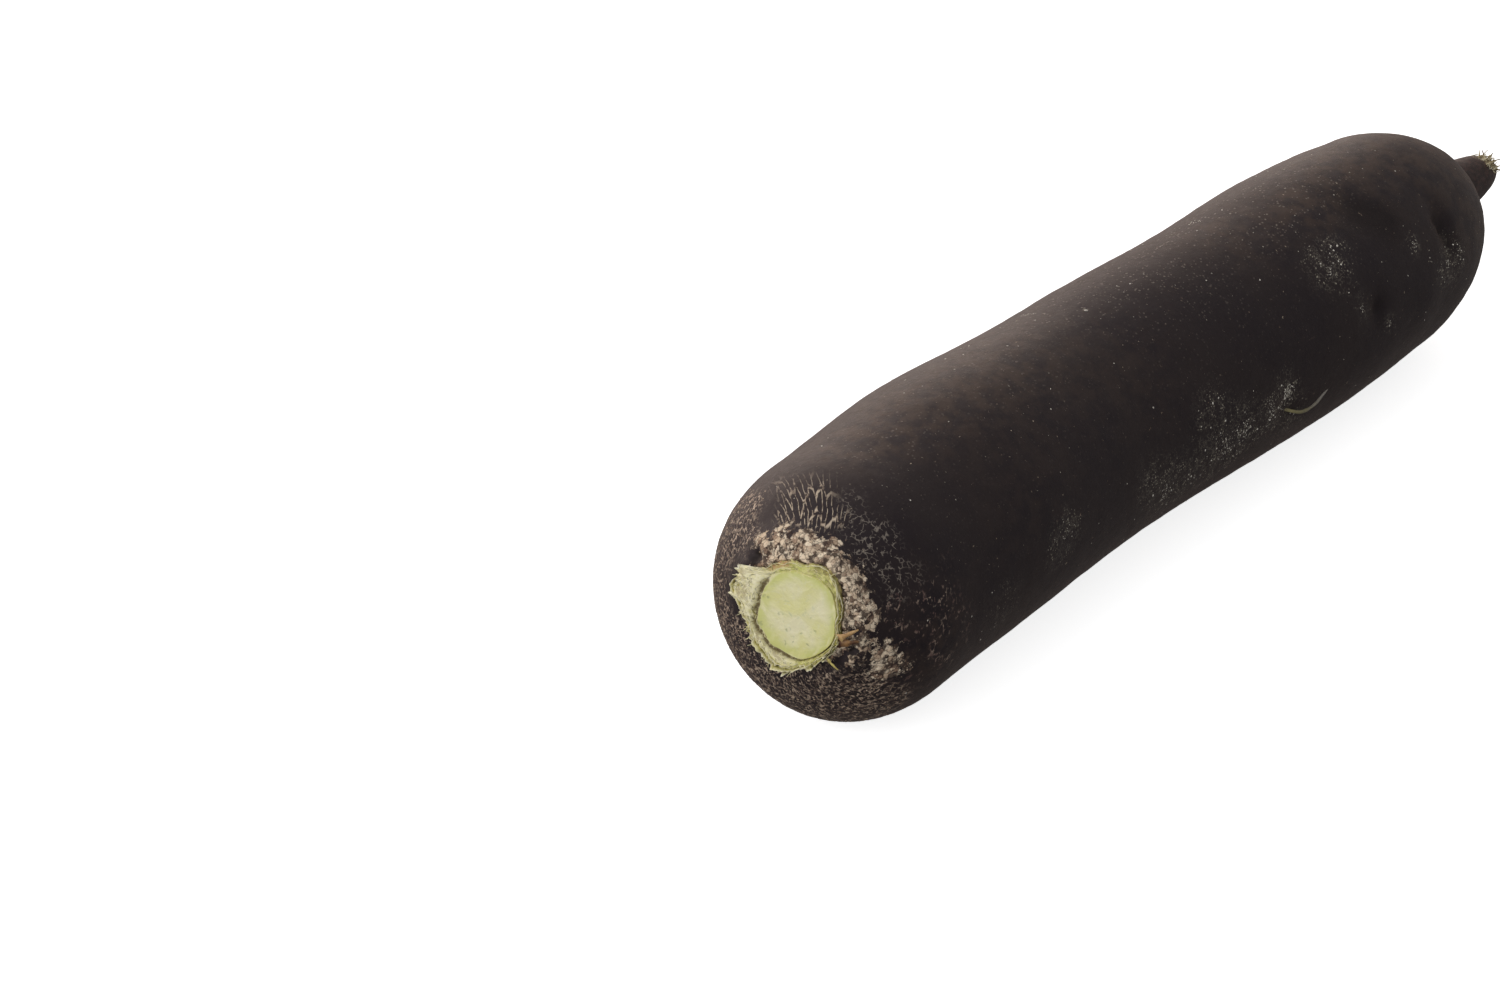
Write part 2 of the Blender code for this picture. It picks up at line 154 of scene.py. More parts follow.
# Every kind of mark, by the name that the skin's material reads.
# Dashes are reddish tan and fade out beyond the crust. Shades are hollows that stay dark inside the sheen
MARKS = {
    "pit": PITS,
    "scuff": SCUFFS,
    "dusty": DUSTY,
    "grey_net": (
        (14.6, 25, 3.5, 1.0), (15.3, 37, 3.5, 1.0), (15.2, 49, 3.5, 1.0), (12.7, 40, 3.0, 0.9),
        (19.0, 14, 3.5, 0.6), (19.0, 60, 4.0, 0.5), (13.0, 62, 3.5, 0.6), (18.0, 36, 4.0, 0.6),
    ),
    "fissure": (
        (12.6, 0, 3.8, 1.0), (11.0, -8, 3.4, 0.9), (12.0, 10, 3.4, 1.0), (16.5, -15, 3.8, 0.5),
        (17.5, 1, 3.8, 0.55), (18.1, -26, 4.0, 0.28), (14.5, 17, 2.6, 0.6), (21.0, -6, 4.0, 0.22),
    ),
    "dashes": (
        (13.6, 78, 4.5, 0.9), (18.5, 71, 4.5, 0.75), (18.8, 90, 5.0, 0.8), (24.7, 74, 4.5, 0.6),
        (25.0, 88, 5.0, 0.75), (30.0, 90, 4.5, 0.5), (21.8, 101, 5.0, 0.7), (29.0, 62, 4.0, 0.35),
        (30.0, 104, 5.0, 0.35), (16.0, 112, 5.0, 0.6), (12.0, 68, 3.0, 0.7), (22.0, 118, 5.0, 0.35),
    ),
    # Tan-brown patches: partly the skin's own colour, partly painted highlight on the upper side where the
    # sheen falls
    "warm_and_highlight": (
        (191, 13, 9, 1.0), (170, 2, 12, 0.8), (197, 17, 6, 0.7), (245, 70, 12, 0.8), (232, 15, 16, 0.8),
        (212, 5, 12, 0.9), (34, -8, 9, 1.0), (47, -3, 11, 1.0), (61, 2, 12, 0.9), (77, 5, 12, 0.5),
        (20, 95, 12, 0.6), (60, 60, 18, 0.3), (110, 40, 16, 0.3), (258, 120, 14, 0.7), (90, 5, 18, 0.6),
        (243, 5, 12, 0.9), (256, 25, 11, 0.8), (262, 60, 8, 0.6), (262, -20, 10, 0.6),
    ),
    "shade": (
        (203, 33, 6.5, 1.0), (209, 43, 5.0, 0.9), (226, 60, 3.2, 0.9), (227, 72, 3.0, 0.9),
        (193, 77, 3.5, 0.8),
    ),
    "beige": (
        (6.9, 19, 1.6, 1.0), (8.0, 35, 1.9, 1.0), (8.9, 48, 1.4, 0.8), (8.0, 62, 1.4, 0.6),
        (6.9, 80, 1.3, 0.5),
    ),
    "torn_tip": (
        (281.6, 18, 1.6, 0.9), (281.2, 34, 1.3, 0.8), (279.6, 6, 1.4, 0.6), (282.5, 26, 1.6, 0.8),
    ),
}
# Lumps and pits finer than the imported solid: (along, around in degrees, reach, height) in mm
RELIEF = (
    (4.3, -23.5, 1.5, -1.2), (7.0, 19, 1.5, 0.7), (8.0, 35, 1.7, 0.8), (8.8, 50, 1.4, 0.5),
    (7.6, 64, 1.5, 0.6), (6.6, 82, 1.5, 0.4), (5.4, 86, 1.2, -0.8), (9.5, 93, 2.0, 0.4),
    (5.9, -2, 1.8, 0.5), (4.9, -14, 1.4, 0.4), (155.5, 98, 2.2, -0.5), (193, 77, 1.8, -0.6),
    (195, 84, 1.4, 0.4), (225.5, 56, 1.3, -0.5), (226.5, 63, 1.3, -0.6), (227.5, 70, 1.3, -0.5),
    (92, -80, 2.4, -0.5), (187, -97, 2.4, -0.5),
)
# Lumps of the crust, and noise over the whole skin: sizes and heights
LARGE_LUMP, LARGE_LUMP_HEIGHT = 0.0019, 0.00042
SMALL_LUMP, SMALL_LUMP_HEIGHT = 0.0009, 0.00020
LUMP_REACH = 0.75
CRUST_HEIGHT = 0.00022
GRAIN_HEIGHT = 0.00020
WAVE_SIZE, WAVE_HEIGHT = 0.009, 0.00010
RIPPLE_SIZE, RIPPLE_HEIGHT = 0.0022, 0.00005

# Corky wall that climbs to the stump's rim on its far side, in shares of the stump's radius and in degrees
WALL_SHARE = 1.03
WALL_WIDTH = 0.085
WALL_HEIGHT = 0.0012
WALL_SIDE = (132.0, 98.0, 60.0)
# Skin under the stump, sunk out of its way between these shares of the stump's radius
SUNK_DEPTH = 0.0026
SUNK_EDGE = (0.83, 0.94)
# Slant of the fissures against the lines that radiate from the stump
FISSURE_SLANT = 0.55
# Radius in mm at which the map round the stump is true to scale
MAP_RADIUS = 19.0
# Crown, scarred ring and foot of the tail along the root, and the middle of the root, where the skin shines
# least.
# The ring's dark brown is partly painted crease shade where the tail meets the root
CROWN_FADE = (0.03, 0.11)
SCAR_PLACE, SCAR_REACH = ROOT_LENGTH + 0.0006, 0.0011
TAIL_FADE = (ROOT_LENGTH - 0.004, ROOT_LENGTH + 0.004)
DULL_MIDDLE, DULL_REACH = 0.148, 0.055

# Mesh density of the skin: the crown has the finer sides
CROWN_SIDES = 448
BODY_SIDES = 224
CROWN_STEPS = ((0.008, 6), (0.046, 92))
BODY_STEPS = ((0.225, 130), (0.287, 52), (0.999, 36))
POLE = 1e-7


def through(stations, share):
    """Smooth curve through the stations."""
    shares, values = np.array(stations, float).T
    slopes = np.gradient(values, shares)
    i = np.clip(np.searchsorted(shares, share) - 1, 0, len(shares) - 2)
    step = shares[i + 1] - shares[i]
    t = np.clip((share - shares[i]) / step, 0, 1)
    start = (2 * t**3 - 3 * t**2 + 1) * values[i] + (t**3 - 2 * t**2 + t) * step * slopes[i]
    finish = (3 * t**2 - 2 * t**3) * values[i + 1] + (t**3 - t**2) * step * slopes[i + 1]
    return start + finish


def rounded(distance, length, square):
    """Share of the full radius at this distance from a rounded end."""
    rest = 1 - np.clip(distance / length, 0, 1)
    return np.maximum(1 - rest**square, 0) ** (1 / square)


def smooth_max(a, b, fillet):
    """The larger of two, with a fillet where they meet."""
    near = np.maximum(fillet - np.abs(a - b), 0) / fillet
    return np.maximum(a, b) + near * near * fillet / 4


def step_up(value, low, high):
    """Smooth step from 0 at low to 1 at high."""
    t = np.clip((value - low) / (high - low), 0, 1)
    return t * t * (3 - 2 * t)


def bell(value, width):
    """Bell curve: 1 at 0, and about a third at this width."""
    return np.exp(-((value / width) ** 2))


def off_angle(angle, degrees):
    """Turn from this direction in degrees, wrapped, in radians."""
    return np.angle(np.exp(1j * (angle - math.radians(degrees))))


def share_of(along):
    """Share of the root's length, without the tail."""
    return np.clip(along / ROOT_LENGTH, 0, 1)


def radius_at(along):
    """Radius of the root and its tail stub."""
    ends = rounded(along, CROWN_ROUND, CROWN_SQUARE) * rounded(ROOT_LENGTH - along, END_ROUND, END_SQUARE)
    root = through(RADIUS, share_of(along)) * ends
    flare = TAIL_FLARE * np.exp(-np.abs(along - ROOT_LENGTH) / TAIL_FLARE_REACH)
    tail = TAIL_RADIUS * rounded(FULL_LENGTH - along, TAIL_LENGTH, TAIL_SQUARE) + flare
    tail = tail * rounded(FULL_LENGTH - along, TAIL_TIP_ROUND, 2)
    return np.where(along > ROOT_LENGTH - END_ROUND / 2, smooth_max(root, tail, TAIL_FILLET), root)


def tail_share(along):
    """Share of the tail stub's length."""
    return np.clip((along - ROOT_LENGTH + TAIL_FLARE_REACH) / TAIL_LENGTH, 0, 1)


def spine_side(along):
    """Sideways place of the root's middle line."""
    return through(SIDE_BEND, share_of(along)) + TAIL_SWERVE * tail_share(along)


def spine_height(along):
    """Height of the root's middle line."""
    height = through(RADIUS, share_of(along)) + through(UNDERSIDE, share_of(along))
    return height + TAIL_DROOP * tail_share(along)


def lobes(along, around):
    """Uneven girth, as a share of the radius."""
    total = 0
    for count, share, phase, drift in LOBES:
        total = total + share * np.cos(count * around + phase + 2 * math.pi * drift * along / ROOT_LENGTH)
    return total


def skin_forms(along, around):
    """Hollows and swellings of the smooth skin."""
    total = 0
    for place, angle, reach_along, reach_around, height in SKIN_FORMS:
        arc = off_angle(around, angle) * radius_at(np.array(place))
        total = total + height * bell(along - place, reach_along) * bell(arc, reach_around)
    return total


def stump_frame():
    """Middle of the stump on the skin, its outward direction, and its across and up directions."""
    outward = Vector((-1, STUMP_LEAN_ACROSS, STUMP_LEAN_UP)).normalized()
    offset = math.hypot(STUMP_ACROSS, STUMP_ABOVE)
    alongs = np.linspace(0, CROWN_ROUND, 4000)
    along = float(np.interp(offset, radius_at(alongs), alongs))
    across = spine_side(np.array(0.0)) + STUMP_ACROSS
    height = spine_height(np.array(0.0)) + STUMP_ABOVE
    middle = Vector((along, float(across), float(height)))
    up = (Vector((0, 0, 1)) - outward * outward.z).normalized()
    return tuple(np.array(v) for v in (middle, outward, outward.cross(up), up))


STUMP = stump_frame()


def collar(points):
    """Rise of the corky collar at these points of the crown."""
    middle, outward, across, up = STUMP
    a = (points - middle) @ across
    b = (points - middle) @ up
    facing = 0.5 + 0.5 * np.cos(np.arctan2(b, a) - math.radians(COLLAR_SIDE))
    share = COLLAR_LEAST + (1 - COLLAR_LEAST) * facing
    ridge = bell(np.hypot(a, b) - COLLAR_RADIUS, COLLAR_WIDTH)
    on_crown = 1 / (1 + np.exp((points[..., 0] - CROWN_ROUND / 2) / COLLAR_FADE))
    return (COLLAR_HEIGHT * ridge * share * on_crown)[..., None] * outward


def skin(along, around):
    """Points of the root's smooth skin, as in the part's source."""
    radius = radius_at(along) * (1 + lobes(along, around)) + skin_forms(along, around)
    radius = np.where(radius_at(along) > 0, radius, 0)
    y = spine_side(along) - radius * np.sin(around)
    z = spine_height(along) + radius * np.cos(around)
    points = np.stack([along + 0 * around, y, z], -1)
    return points + collar(points)


def over_skin(along, around, lift):
    """Point at this height over the skin."""
    point = skin(np.array(along), np.array(around))
    return point + np.array((0, -math.sin(around), math.cos(around))) * lift


def outward_of(along, around):
    """Unit outward normals of the smooth skin."""
    tiny = 1e-5
    low, high = (np.clip(along + step, POLE, FULL_LENGTH - POLE) for step in (-tiny, tiny))
    lengthwise = skin(high, around) - skin(low, around)
    girthwise = skin(along, around + 1e-3) - skin(along, around - 1e-3)
    normal = np.cross(girthwise, lengthwise)
    size = np.linalg.norm(normal, axis=-1, keepdims=True)
    return normal / np.maximum(size, 1e-15)


# Noise over points. It has no seed of its own: the same point gives the same value

def cloud(points, size, octaves=1):
    """Noise from about -1 to 1, with features of this size."""
    values = [noise.fractal(Vector(p), 1.0, 2.0, octaves) for p in (points / size).reshape(-1, 3)]
    return np.array(values).reshape(points.shape[:-1])


def nearest_cell(points, size):
    """Distance to the nearest cell middle, in cell sizes."""
    return np.array([noise.voronoi(Vector(p))[0][0] for p in points / size])


def away_from(points, along, around):
    """Distance of these points from a place on the skin, along in mm and around in degrees."""
    centre = skin(np.array(along * MM), np.array(math.radians(around)))
    return np.linalg.norm(points - centre, axis=-1)


def patches(points, marks):
    """Sum of soft round patches at these marks, at most 1."""
    total = np.zeros(points.shape[:-1])
    for along, around, reach, strength in marks:
        total = total + strength * bell(away_from(points, along, around), reach * MM)
    return np.clip(total, 0, 1)


# Places on the stump

def side_weight(angle, middle, half_width, fade=25.0):
    """1 within half_width degrees of this angle on the rim, fading to 0."""
    off = np.abs(np.degrees(off_angle(angle, middle)))
    return 1 - step_up(off, half_width - fade / 2, half_width + fade / 2)


def stump_radius(angle):
    """Radius of the stump's rim, with its waves and leaf bases."""
    torn = sum(share * np.cos(count * angle + phase) for count, share, phase in STUMP_WAVES)
    radius = STUMP_RADIUS * (1 + torn)
    for place, half_width, reach in LEAF_BASES:
        radius = radius + reach * bell(np.degrees(off_angle(angle, place)), half_width)
    return radius


def stump_point(share, angle, height):
    """Point of the stump: share of its radius, angle on its face, height over the skin at its middle."""
    middle, outward, across, up = STUMP
    share, angle, height = np.broadcast_arrays(share, angle, height)
    distance = stump_radius(angle) * share
    shifted = np.minimum(1.0, (1 - share) / (1 - FACE_SHARE))
    a = distance * np.cos(angle) + FACE_SHIFT[0] * shifted
    b = distance * np.sin(angle) + FACE_SHIFT[1] * shifted
    return middle + across * a[..., None] + up * b[..., None] + outward * height[..., None]


def place_on_stump(points):
    """Share of the stump's radius and angle on its face at these points, far away behind the crown."""
    middle, outward, across, up = STUMP
    a = (points - middle) @ across
    b = (points - middle) @ up
    angle = np.arctan2(b, a)
    share = np.hypot(a, b) / stump_radius(angle)
    return np.where(points[..., 0] < CROWN_ROUND, share, 9.0), angle


def stump_map(points, slant=0.0):
    """Distance from the stump's middle and way round it in mm, for marks that radiate from it."""
    _, angle = place_on_stump(points)
    away = np.linalg.norm(points - STUMP[0], axis=-1) / MM
    return np.stack([away, angle * MAP_RADIUS + slant * away, 0 * away], -1)


# Meshes

def add_mesh(name, points, faces, material, smooth=True):
    """Object from points in design coordinates."""
    mesh = bpy.data.meshes.new(name)
    mesh.from_pydata((np.asarray(points) + SHIFT).tolist(), [], faces)
    mesh.update()
    if smooth:
        mesh.shade_smooth()
    thing = bpy.data.objects.new(name, mesh)
    bpy.context.scene.collection.objects.link(thing)
    mesh.materials.append(material)
    return thing


def paint(thing, name, values):
    """Store a value or a place per vertex for the material."""
    values = np.asarray(values, np.float32)
    kind, field = ("FLOAT", "value") if values.ndim == 1 else ("FLOAT_VECTOR", "vector")
    layer = thing.data.attributes.new(name, kind, "POINT")
    layer.data.foreach_set(field, values.ravel())


def between_rings(first, second, sides):
    """Faces between two rings of points, given by their first points."""
    k = np.arange(sides)
    n = (k + 1) % sides
    return np.stack([first + k, second + k, second + n, first + n], 1).tolist()


def narrowing(first, second, sides):
    """Faces from a ring with twice this many sides to one with this many."""
    faces = []
    for k in range(sides):
        a, b, c = first + 2 * k, first + 2 * k + 1, first + (2 * k + 2) % (2 * sides)
        low, high = second + k, second + (k + 1) % sides
        faces += [(a, low, b), (b, low, high), (b, high, c)]
    return faces


def cap(pole, ring, sides, flipped):
    """Fan of faces between a pole and a ring."""
    faces = [(pole, ring + k, ring + (k + 1) % sides) for k in range(sides)]
    return [face[::-1] for face in faces] if flipped else faces


def ring_places():
    """Places of the rings, evenly spaced along the outline, and how many belong to the crown."""
    fine = FULL_LENGTH * (0.5 - 0.5 * np.cos(np.linspace(0, math.pi, 20000)))
    travel = np.concatenate([[0], np.cumsum(np.hypot(np.diff(fine), np.diff(radius_at(fine))))])
    stops = [0.0]
    for finish, steps in CROWN_STEPS + BODY_STEPS:
        stops += list(np.linspace(stops[-1], min(finish, travel[-1]), steps + 1)[1:])
    return np.interp(stops, travel, fine)[1:-1], sum(steps for _, steps in CROWN_STEPS)


def skin_grid():
    """Along and around of each vertex of the skin, and its faces."""
    places, crown_rings = ring_places()
    alongs, arounds, starts = [POLE], [0.0], []
    for row, place in enumerate(places):
        sides = CROWN_SIDES if row < crown_rings else BODY_SIDES
        starts.append((len(alongs), sides))
        alongs += [place] * sides
        arounds += list(np.linspace(-math.pi, math.pi, sides, endpoint=False))
    alongs.append(FULL_LENGTH - POLE)
    arounds.append(0.0)
    faces = cap(0, starts[0][0], CROWN_SIDES, False)
    for (first, sides), (second, next_sides) in zip(starts, starts[1:]):
        join = between_rings if sides == next_sides else narrowing
        faces += join(first, second, next_sides)
    faces += cap(len(alongs) - 1, starts[-1][0], BODY_SIDES, True)
    return np.array(alongs), np.array(arounds), faces


# Skin

def far_wall(points, spread=1.0):
    """Share of the corky wall on the stump's far side at these points."""
    share, angle = place_on_stump(points)
    return bell(share - WALL_SHARE, spread * WALL_WIDTH) * side_weight(angle, *WALL_SIDE)


def crust_masks(points):
    """Shares of corky crust and of granular skin at these points."""
    wall = far_wall(points) * (1.0 + 0.5 * cloud(points, 3.0 * MM))
    pits = 1 - patches(points, PITS)
    return np.clip(patches(points, CORK) + wall, 0, 1) * pits, patches(points, GRANULAR) * pits


def skin_relief(points, along):
    """Height of the fine relief over the smooth skin, and the shares of broken crust and granular skin."""
    cork, granular = crust_masks(points)
    broken = cork * (0.75 + 0.5 * cloud(points, 1.6 * MM, 2))
    pushed = points + 0.35 * MM * cloud(points, 1.0 * MM)[:, None]
    large, small = nearest_cell(pushed, LARGE_LUMP), nearest_cell(pushed, SMALL_LUMP)
    rise = broken * (CRUST_HEIGHT + LARGE_LUMP_HEIGHT * np.clip(1 - large / LUMP_REACH, 0, 1)
                     + SMALL_LUMP_HEIGHT * np.clip(1 - small / LUMP_REACH, 0, 1))
    rise += granular * GRAIN_HEIGHT * (0.5 - small)
    rise += WALL_HEIGHT * far_wall(points, 1.3)
    rise += WAVE_HEIGHT * cloud(points, WAVE_SIZE, 3) * step_up(along, 0.02, 0.05)
    rise += RIPPLE_HEIGHT * cloud(points, RIPPLE_SIZE, 2)
    for place, turn, reach, height in RELIEF:
        rise += height * MM * bell(away_from(points, place, turn), reach * MM)
    return rise, broken, granular


def make_skin(material):
    """Fine skin of the root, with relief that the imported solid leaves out."""
    along, around, faces = skin_grid()
    on_form = skin(along, around)
    rise, broken, granular = skin_relief(on_form, along)
    sunk = SUNK_DEPTH * (1 - step_up(place_on_stump(on_form)[0], *SUNK_EDGE))
    points = on_form + outward_of(along, around) * rise[:, None] - STUMP[1] * sunk[:, None]
    points[:, 2] = np.maximum(points[:, 2], 0)
    thing = add_mesh("radish_skin", points, faces, material)
    for name, marks in MARKS.items():
        paint(thing, name, patches(on_form, marks))
    paint(thing, "cork", np.clip(broken, 0, 1))
    paint(thing, "granular", granular)
    paint(thing, "crown", 1 - step_up(along, *CROWN_FADE))
    paint(thing, "dull", bell(along - DULL_MIDDLE, DULL_REACH))
    paint(thing, "scar_and_crease_shade", bell(along - SCAR_PLACE, SCAR_REACH))
    paint(thing, "tail", step_up(along, *TAIL_FADE))
    paint(thing, "stump_place", stump_map(on_form))
    paint(thing, "fissure_place", stump_map(on_form, FISSURE_SLANT))
    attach(thing, "root")
    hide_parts("root")
    return thing


# Small solids gathered into one mesh

ICO = (1 + math.sqrt(5)) / 2
LUMP_POINTS = np.array([(-1, ICO, 0), (1, ICO, 0), (-1, -ICO, 0), (1, -ICO, 0), (0, -1, ICO), (0, 1, ICO),
                        (0, -1, -ICO), (0, 1, -ICO), (ICO, 0, -1), (ICO, 0, 1), (-ICO, 0, -1), (-ICO, 0, 1)])
LUMP_POINTS = LUMP_POINTS / np.linalg.norm(LUMP_POINTS[0])
LUMP_FACES = np.array([(0, 11, 5), (0, 5, 1), (0, 1, 7), (0, 7, 10), (0, 10, 11), (1, 5, 9), (5, 11, 4),
                       (11, 10, 2), (10, 7, 6), (7, 1, 8), (3, 9, 4), (3, 4, 2), (3, 2, 6), (3, 6, 8),
                       (3, 8, 9), (4, 9, 5), (2, 4, 11), (6, 2, 10), (8, 6, 7), (9, 8, 1)])
LUMP_LIFT = 0.00002


def make_lumps(name, centres, normals, sizes, flatness, tones, random, material):
    """Many small uneven lumps, half sunk in what they lie on, as one piece."""
    count = len(centres)
    helper = np.where(np.abs(normals[:, 2:]) < 0.9, (0.0, 0.0, 1.0), (1.0, 0.0, 0.0))
    aside = np.cross(normals, helper)
    aside /= np.linalg.norm(aside, axis=1, keepdims=True)
    spin = random.uniform(0, 2 * math.pi, (count, 1))
    first = aside * np.cos(spin) + np.cross(normals, aside) * np.sin(spin)
    second = np.cross(normals, first)
    shape = LUMP_POINTS[None] * random.uniform(0.72, 1.28, (count, len(LUMP_POINTS), 1))
    shape = shape * sizes[:, None, None]
    stretch = random.uniform(0.8, 1.5, (count, 1))
    points = (centres[:, None] + shape[..., :1] * (first * stretch)[:, None]
              + shape[..., 1:2] * second[:, None]
              + shape[..., 2:] * (normals * flatness)[:, None])
    faces = (LUMP_FACES[None] + (np.arange(count) * len(LUMP_POINTS))[:, None, None]).reshape(-1, 3)
    points = points.reshape(-1, 3)
    points[:, 2] = np.maximum(points[:, 2], LUMP_LIFT)
    thing = add_mesh(name, points, faces.tolist(), material)
    paint(thing, "tone", np.repeat(tones, len(LUMP_POINTS)))
    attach(thing, "root")
    return thing


class Strands:
    """Thin tubes and ribbons gathered into one mesh."""

    def __init__(self):
        self.points, self.faces, self.tones = [], [], []

    def add(self, route, radii, tones, sides=6):
        """Round tube along a route."""
        route = np.asarray(route, float)
        start = len(self.points)
        aside = np.cross(route[1] - route[0], (0.3, 0.5, 0.8))
        for step, centre in enumerate(route):
            direction = route[min(step + 1, len(route) - 1)] - route[max(step - 1, 0)]
            direction = direction / np.linalg.norm(direction)
            aside = aside - direction * (aside @ direction)
            aside = aside / np.linalg.norm(aside)
            face = np.cross(direction, aside)
            for k in range(sides):
                turn = 2 * math.pi * k / sides
                self.points.append(centre + (aside * math.cos(turn) + face * math.sin(turn)) * radii[step])
                self.tones.append(tones[step])
        for step in range(len(route) - 1):
            self.faces += between_rings(start + step * sides, start + (step + 1) * sides, sides)
        for end, ring, flipped in ((0, start, False), (-1, start + (len(route) - 1) * sides, True)):
            self.points.append(route[end])
            self.tones.append(tones[end])
            self.faces += cap(len(self.points) - 1, ring, sides, flipped)

    def add_bent(self, start, aim, bend, length, radii, tones, sides):
        """Short curved fibre that sets off towards its aim."""
        steps = np.linspace(0, 1, len(radii))
        self.add([start + aim * length * t + bend * length * t * t for t in steps], radii, tones, sides)

    def add_ribbon(self, rows, tones):
        """Thin strip from rows of four points: low inner, low outer, high outer, high inner."""
        start = len(self.points)
        for row, (low, high) in zip(rows, tones):
            self.points += list(row)
            self.tones += [low, low, high, high]
        for step in range(len(rows) - 1):
            self.faces += between_rings(start + step * 4, start + (step + 1) * 4, 4)
        self.faces.append((start + 3, start + 2, start + 1, start))
        last = start + (len(rows) - 1) * 4
        self.faces.append((last, last + 1, last + 2, last + 3))

    def make(self, name, material):
        """One piece from all the tubes and ribbons."""
        thing = add_mesh(name, self.points, self.faces, material)
        builder = bmesh.new()
        builder.from_mesh(thing.data)
        bmesh.ops.recalc_face_normals(builder, faces=builder.faces)
        builder.to_mesh(thing.data)
        builder.free()
        thing.data.shade_smooth()
        paint(thing, "tone", np.array(self.tones))
        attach(thing, "root")
        return thing


def wobble(count, random, roughness=3):
    """Smooth random values from 0 to 1 along a strip."""
    knots = random.uniform(0, 1, max(4, count // roughness))
    return through(tuple(zip(np.linspace(0, 1, len(knots)), knots)), np.linspace(0, 1, count))


# Cut leaf stump

FACE_RADIUS = 0.0090
RIM_START = 0.56
STUMP_TURNS = 384
FACE_STEPS = 32
RIM_STEPS = 62
WALL_STEPS = 10
# Reach of the stump's noise: features of size 1 are a twelfth of its radius
NOISE_SPAN = 12.0
# Sides of the stump: middle and half width in degrees on the rim
LEFT = (-25, 62)
TOP = (85, 38)
RIGHT = (170, 48)
LOW = (-118, 36)
CORNER, CORNER_REACH = (34, 8, 18), 0.08


def round_rim(angle):
    """Places for noise that runs round the rim."""
    return np.stack([np.cos(angle), np.sin(angle), 0 * angle], -1) * NOISE_SPAN


def stump_height(share, angle):
    """Height of the cut face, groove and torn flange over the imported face's plane, and its colour masks."""
    left, top, right, low = (side_weight(angle, *side) for side in (LEFT, TOP, RIGHT, LOW))
    circle = np.stack([share * np.cos(angle), share * np.sin(angle), 0 * angle], -1) * NOISE_SPAN
    turn = round_rim(angle)
    edge = FACE_RADIUS / stump_radius(angle) + 0.020 * cloud(turn, 5.0, 2) + 0.025 * right
    inside = 1 - step_up(share, edge - 0.010, edge + 0.005)
    face = 0.30 * (1 - np.minimum(share / edge, 1) ** 2) - 0.12 * bell(share - 0.30, 0.14)
    face = face + 0.05 * cloud(circle, 0.9, 3) + 0.07 * cloud(circle, 3.0, 2)
    depth = 0.16 + 1.05 * left + 0.10 * top + 0.85 * right + 0.75 * low
    width = 0.020 + 0.014 * left + 0.010 * cloud(turn, 3.0, 2)
    groove = bell(share - edge - width * 0.8, width) * depth
    out = np.clip((share - edge) / (1 - edge), 0, 1)
    rising = (0.55 * left + 0.45 * low) * np.sin(np.pi * np.clip(out * 1.1, 0, 1)) + 0.10
    falling = (0.25 + 0.8 * top + 0.35 * right) * out**1.4
    falling = falling + (0.5 * left + 0.9 * right) * step_up(out, 0.80, 1.0)
    streaks = cloud(np.stack([np.cos(angle) * 9, np.sin(angle) * 9, out * 1.3], -1), 0.55, 3)
    torn = cloud(turn + np.array((0, 0, 3.0)), 0.8, 3)
    flange = rising - falling + 0.09 * streaks * np.minimum(out * 3, 1) + 0.40 * torn * step_up(out, 0.6, 1.0)
    height = face * inside + (flange - groove) * (1 - inside)
    blended = 1 - step_up(share, edge - 0.055 + 0.03 * left, edge + 0.015)
    return height * MM, blended, np.clip(groove / 1.2, 0, 1) * (1 - inside), out * (1 - inside)


def stump_wall(angles, turn, rim_share, rim_height, floor):
    """Rows of points from the rim down into the pocket."""
    rows = []
    for t in np.linspace(0, 1, WALL_STEPS + 1)[1:]:
        pulled = rim_share + (STUMP_WALL - rim_share) * min(1, t * 2.2)
        pulled = pulled + 0.025 * (1 - t) * cloud(turn + t * 5.0, 0.8, 2)
        rough = 0.10 * MM * cloud(turn + t * 7.0, 0.9, 2)
        rows.append(stump_point(pulled, angles, rim_height + (floor - rim_height) * t + rough)[None])
    return rows


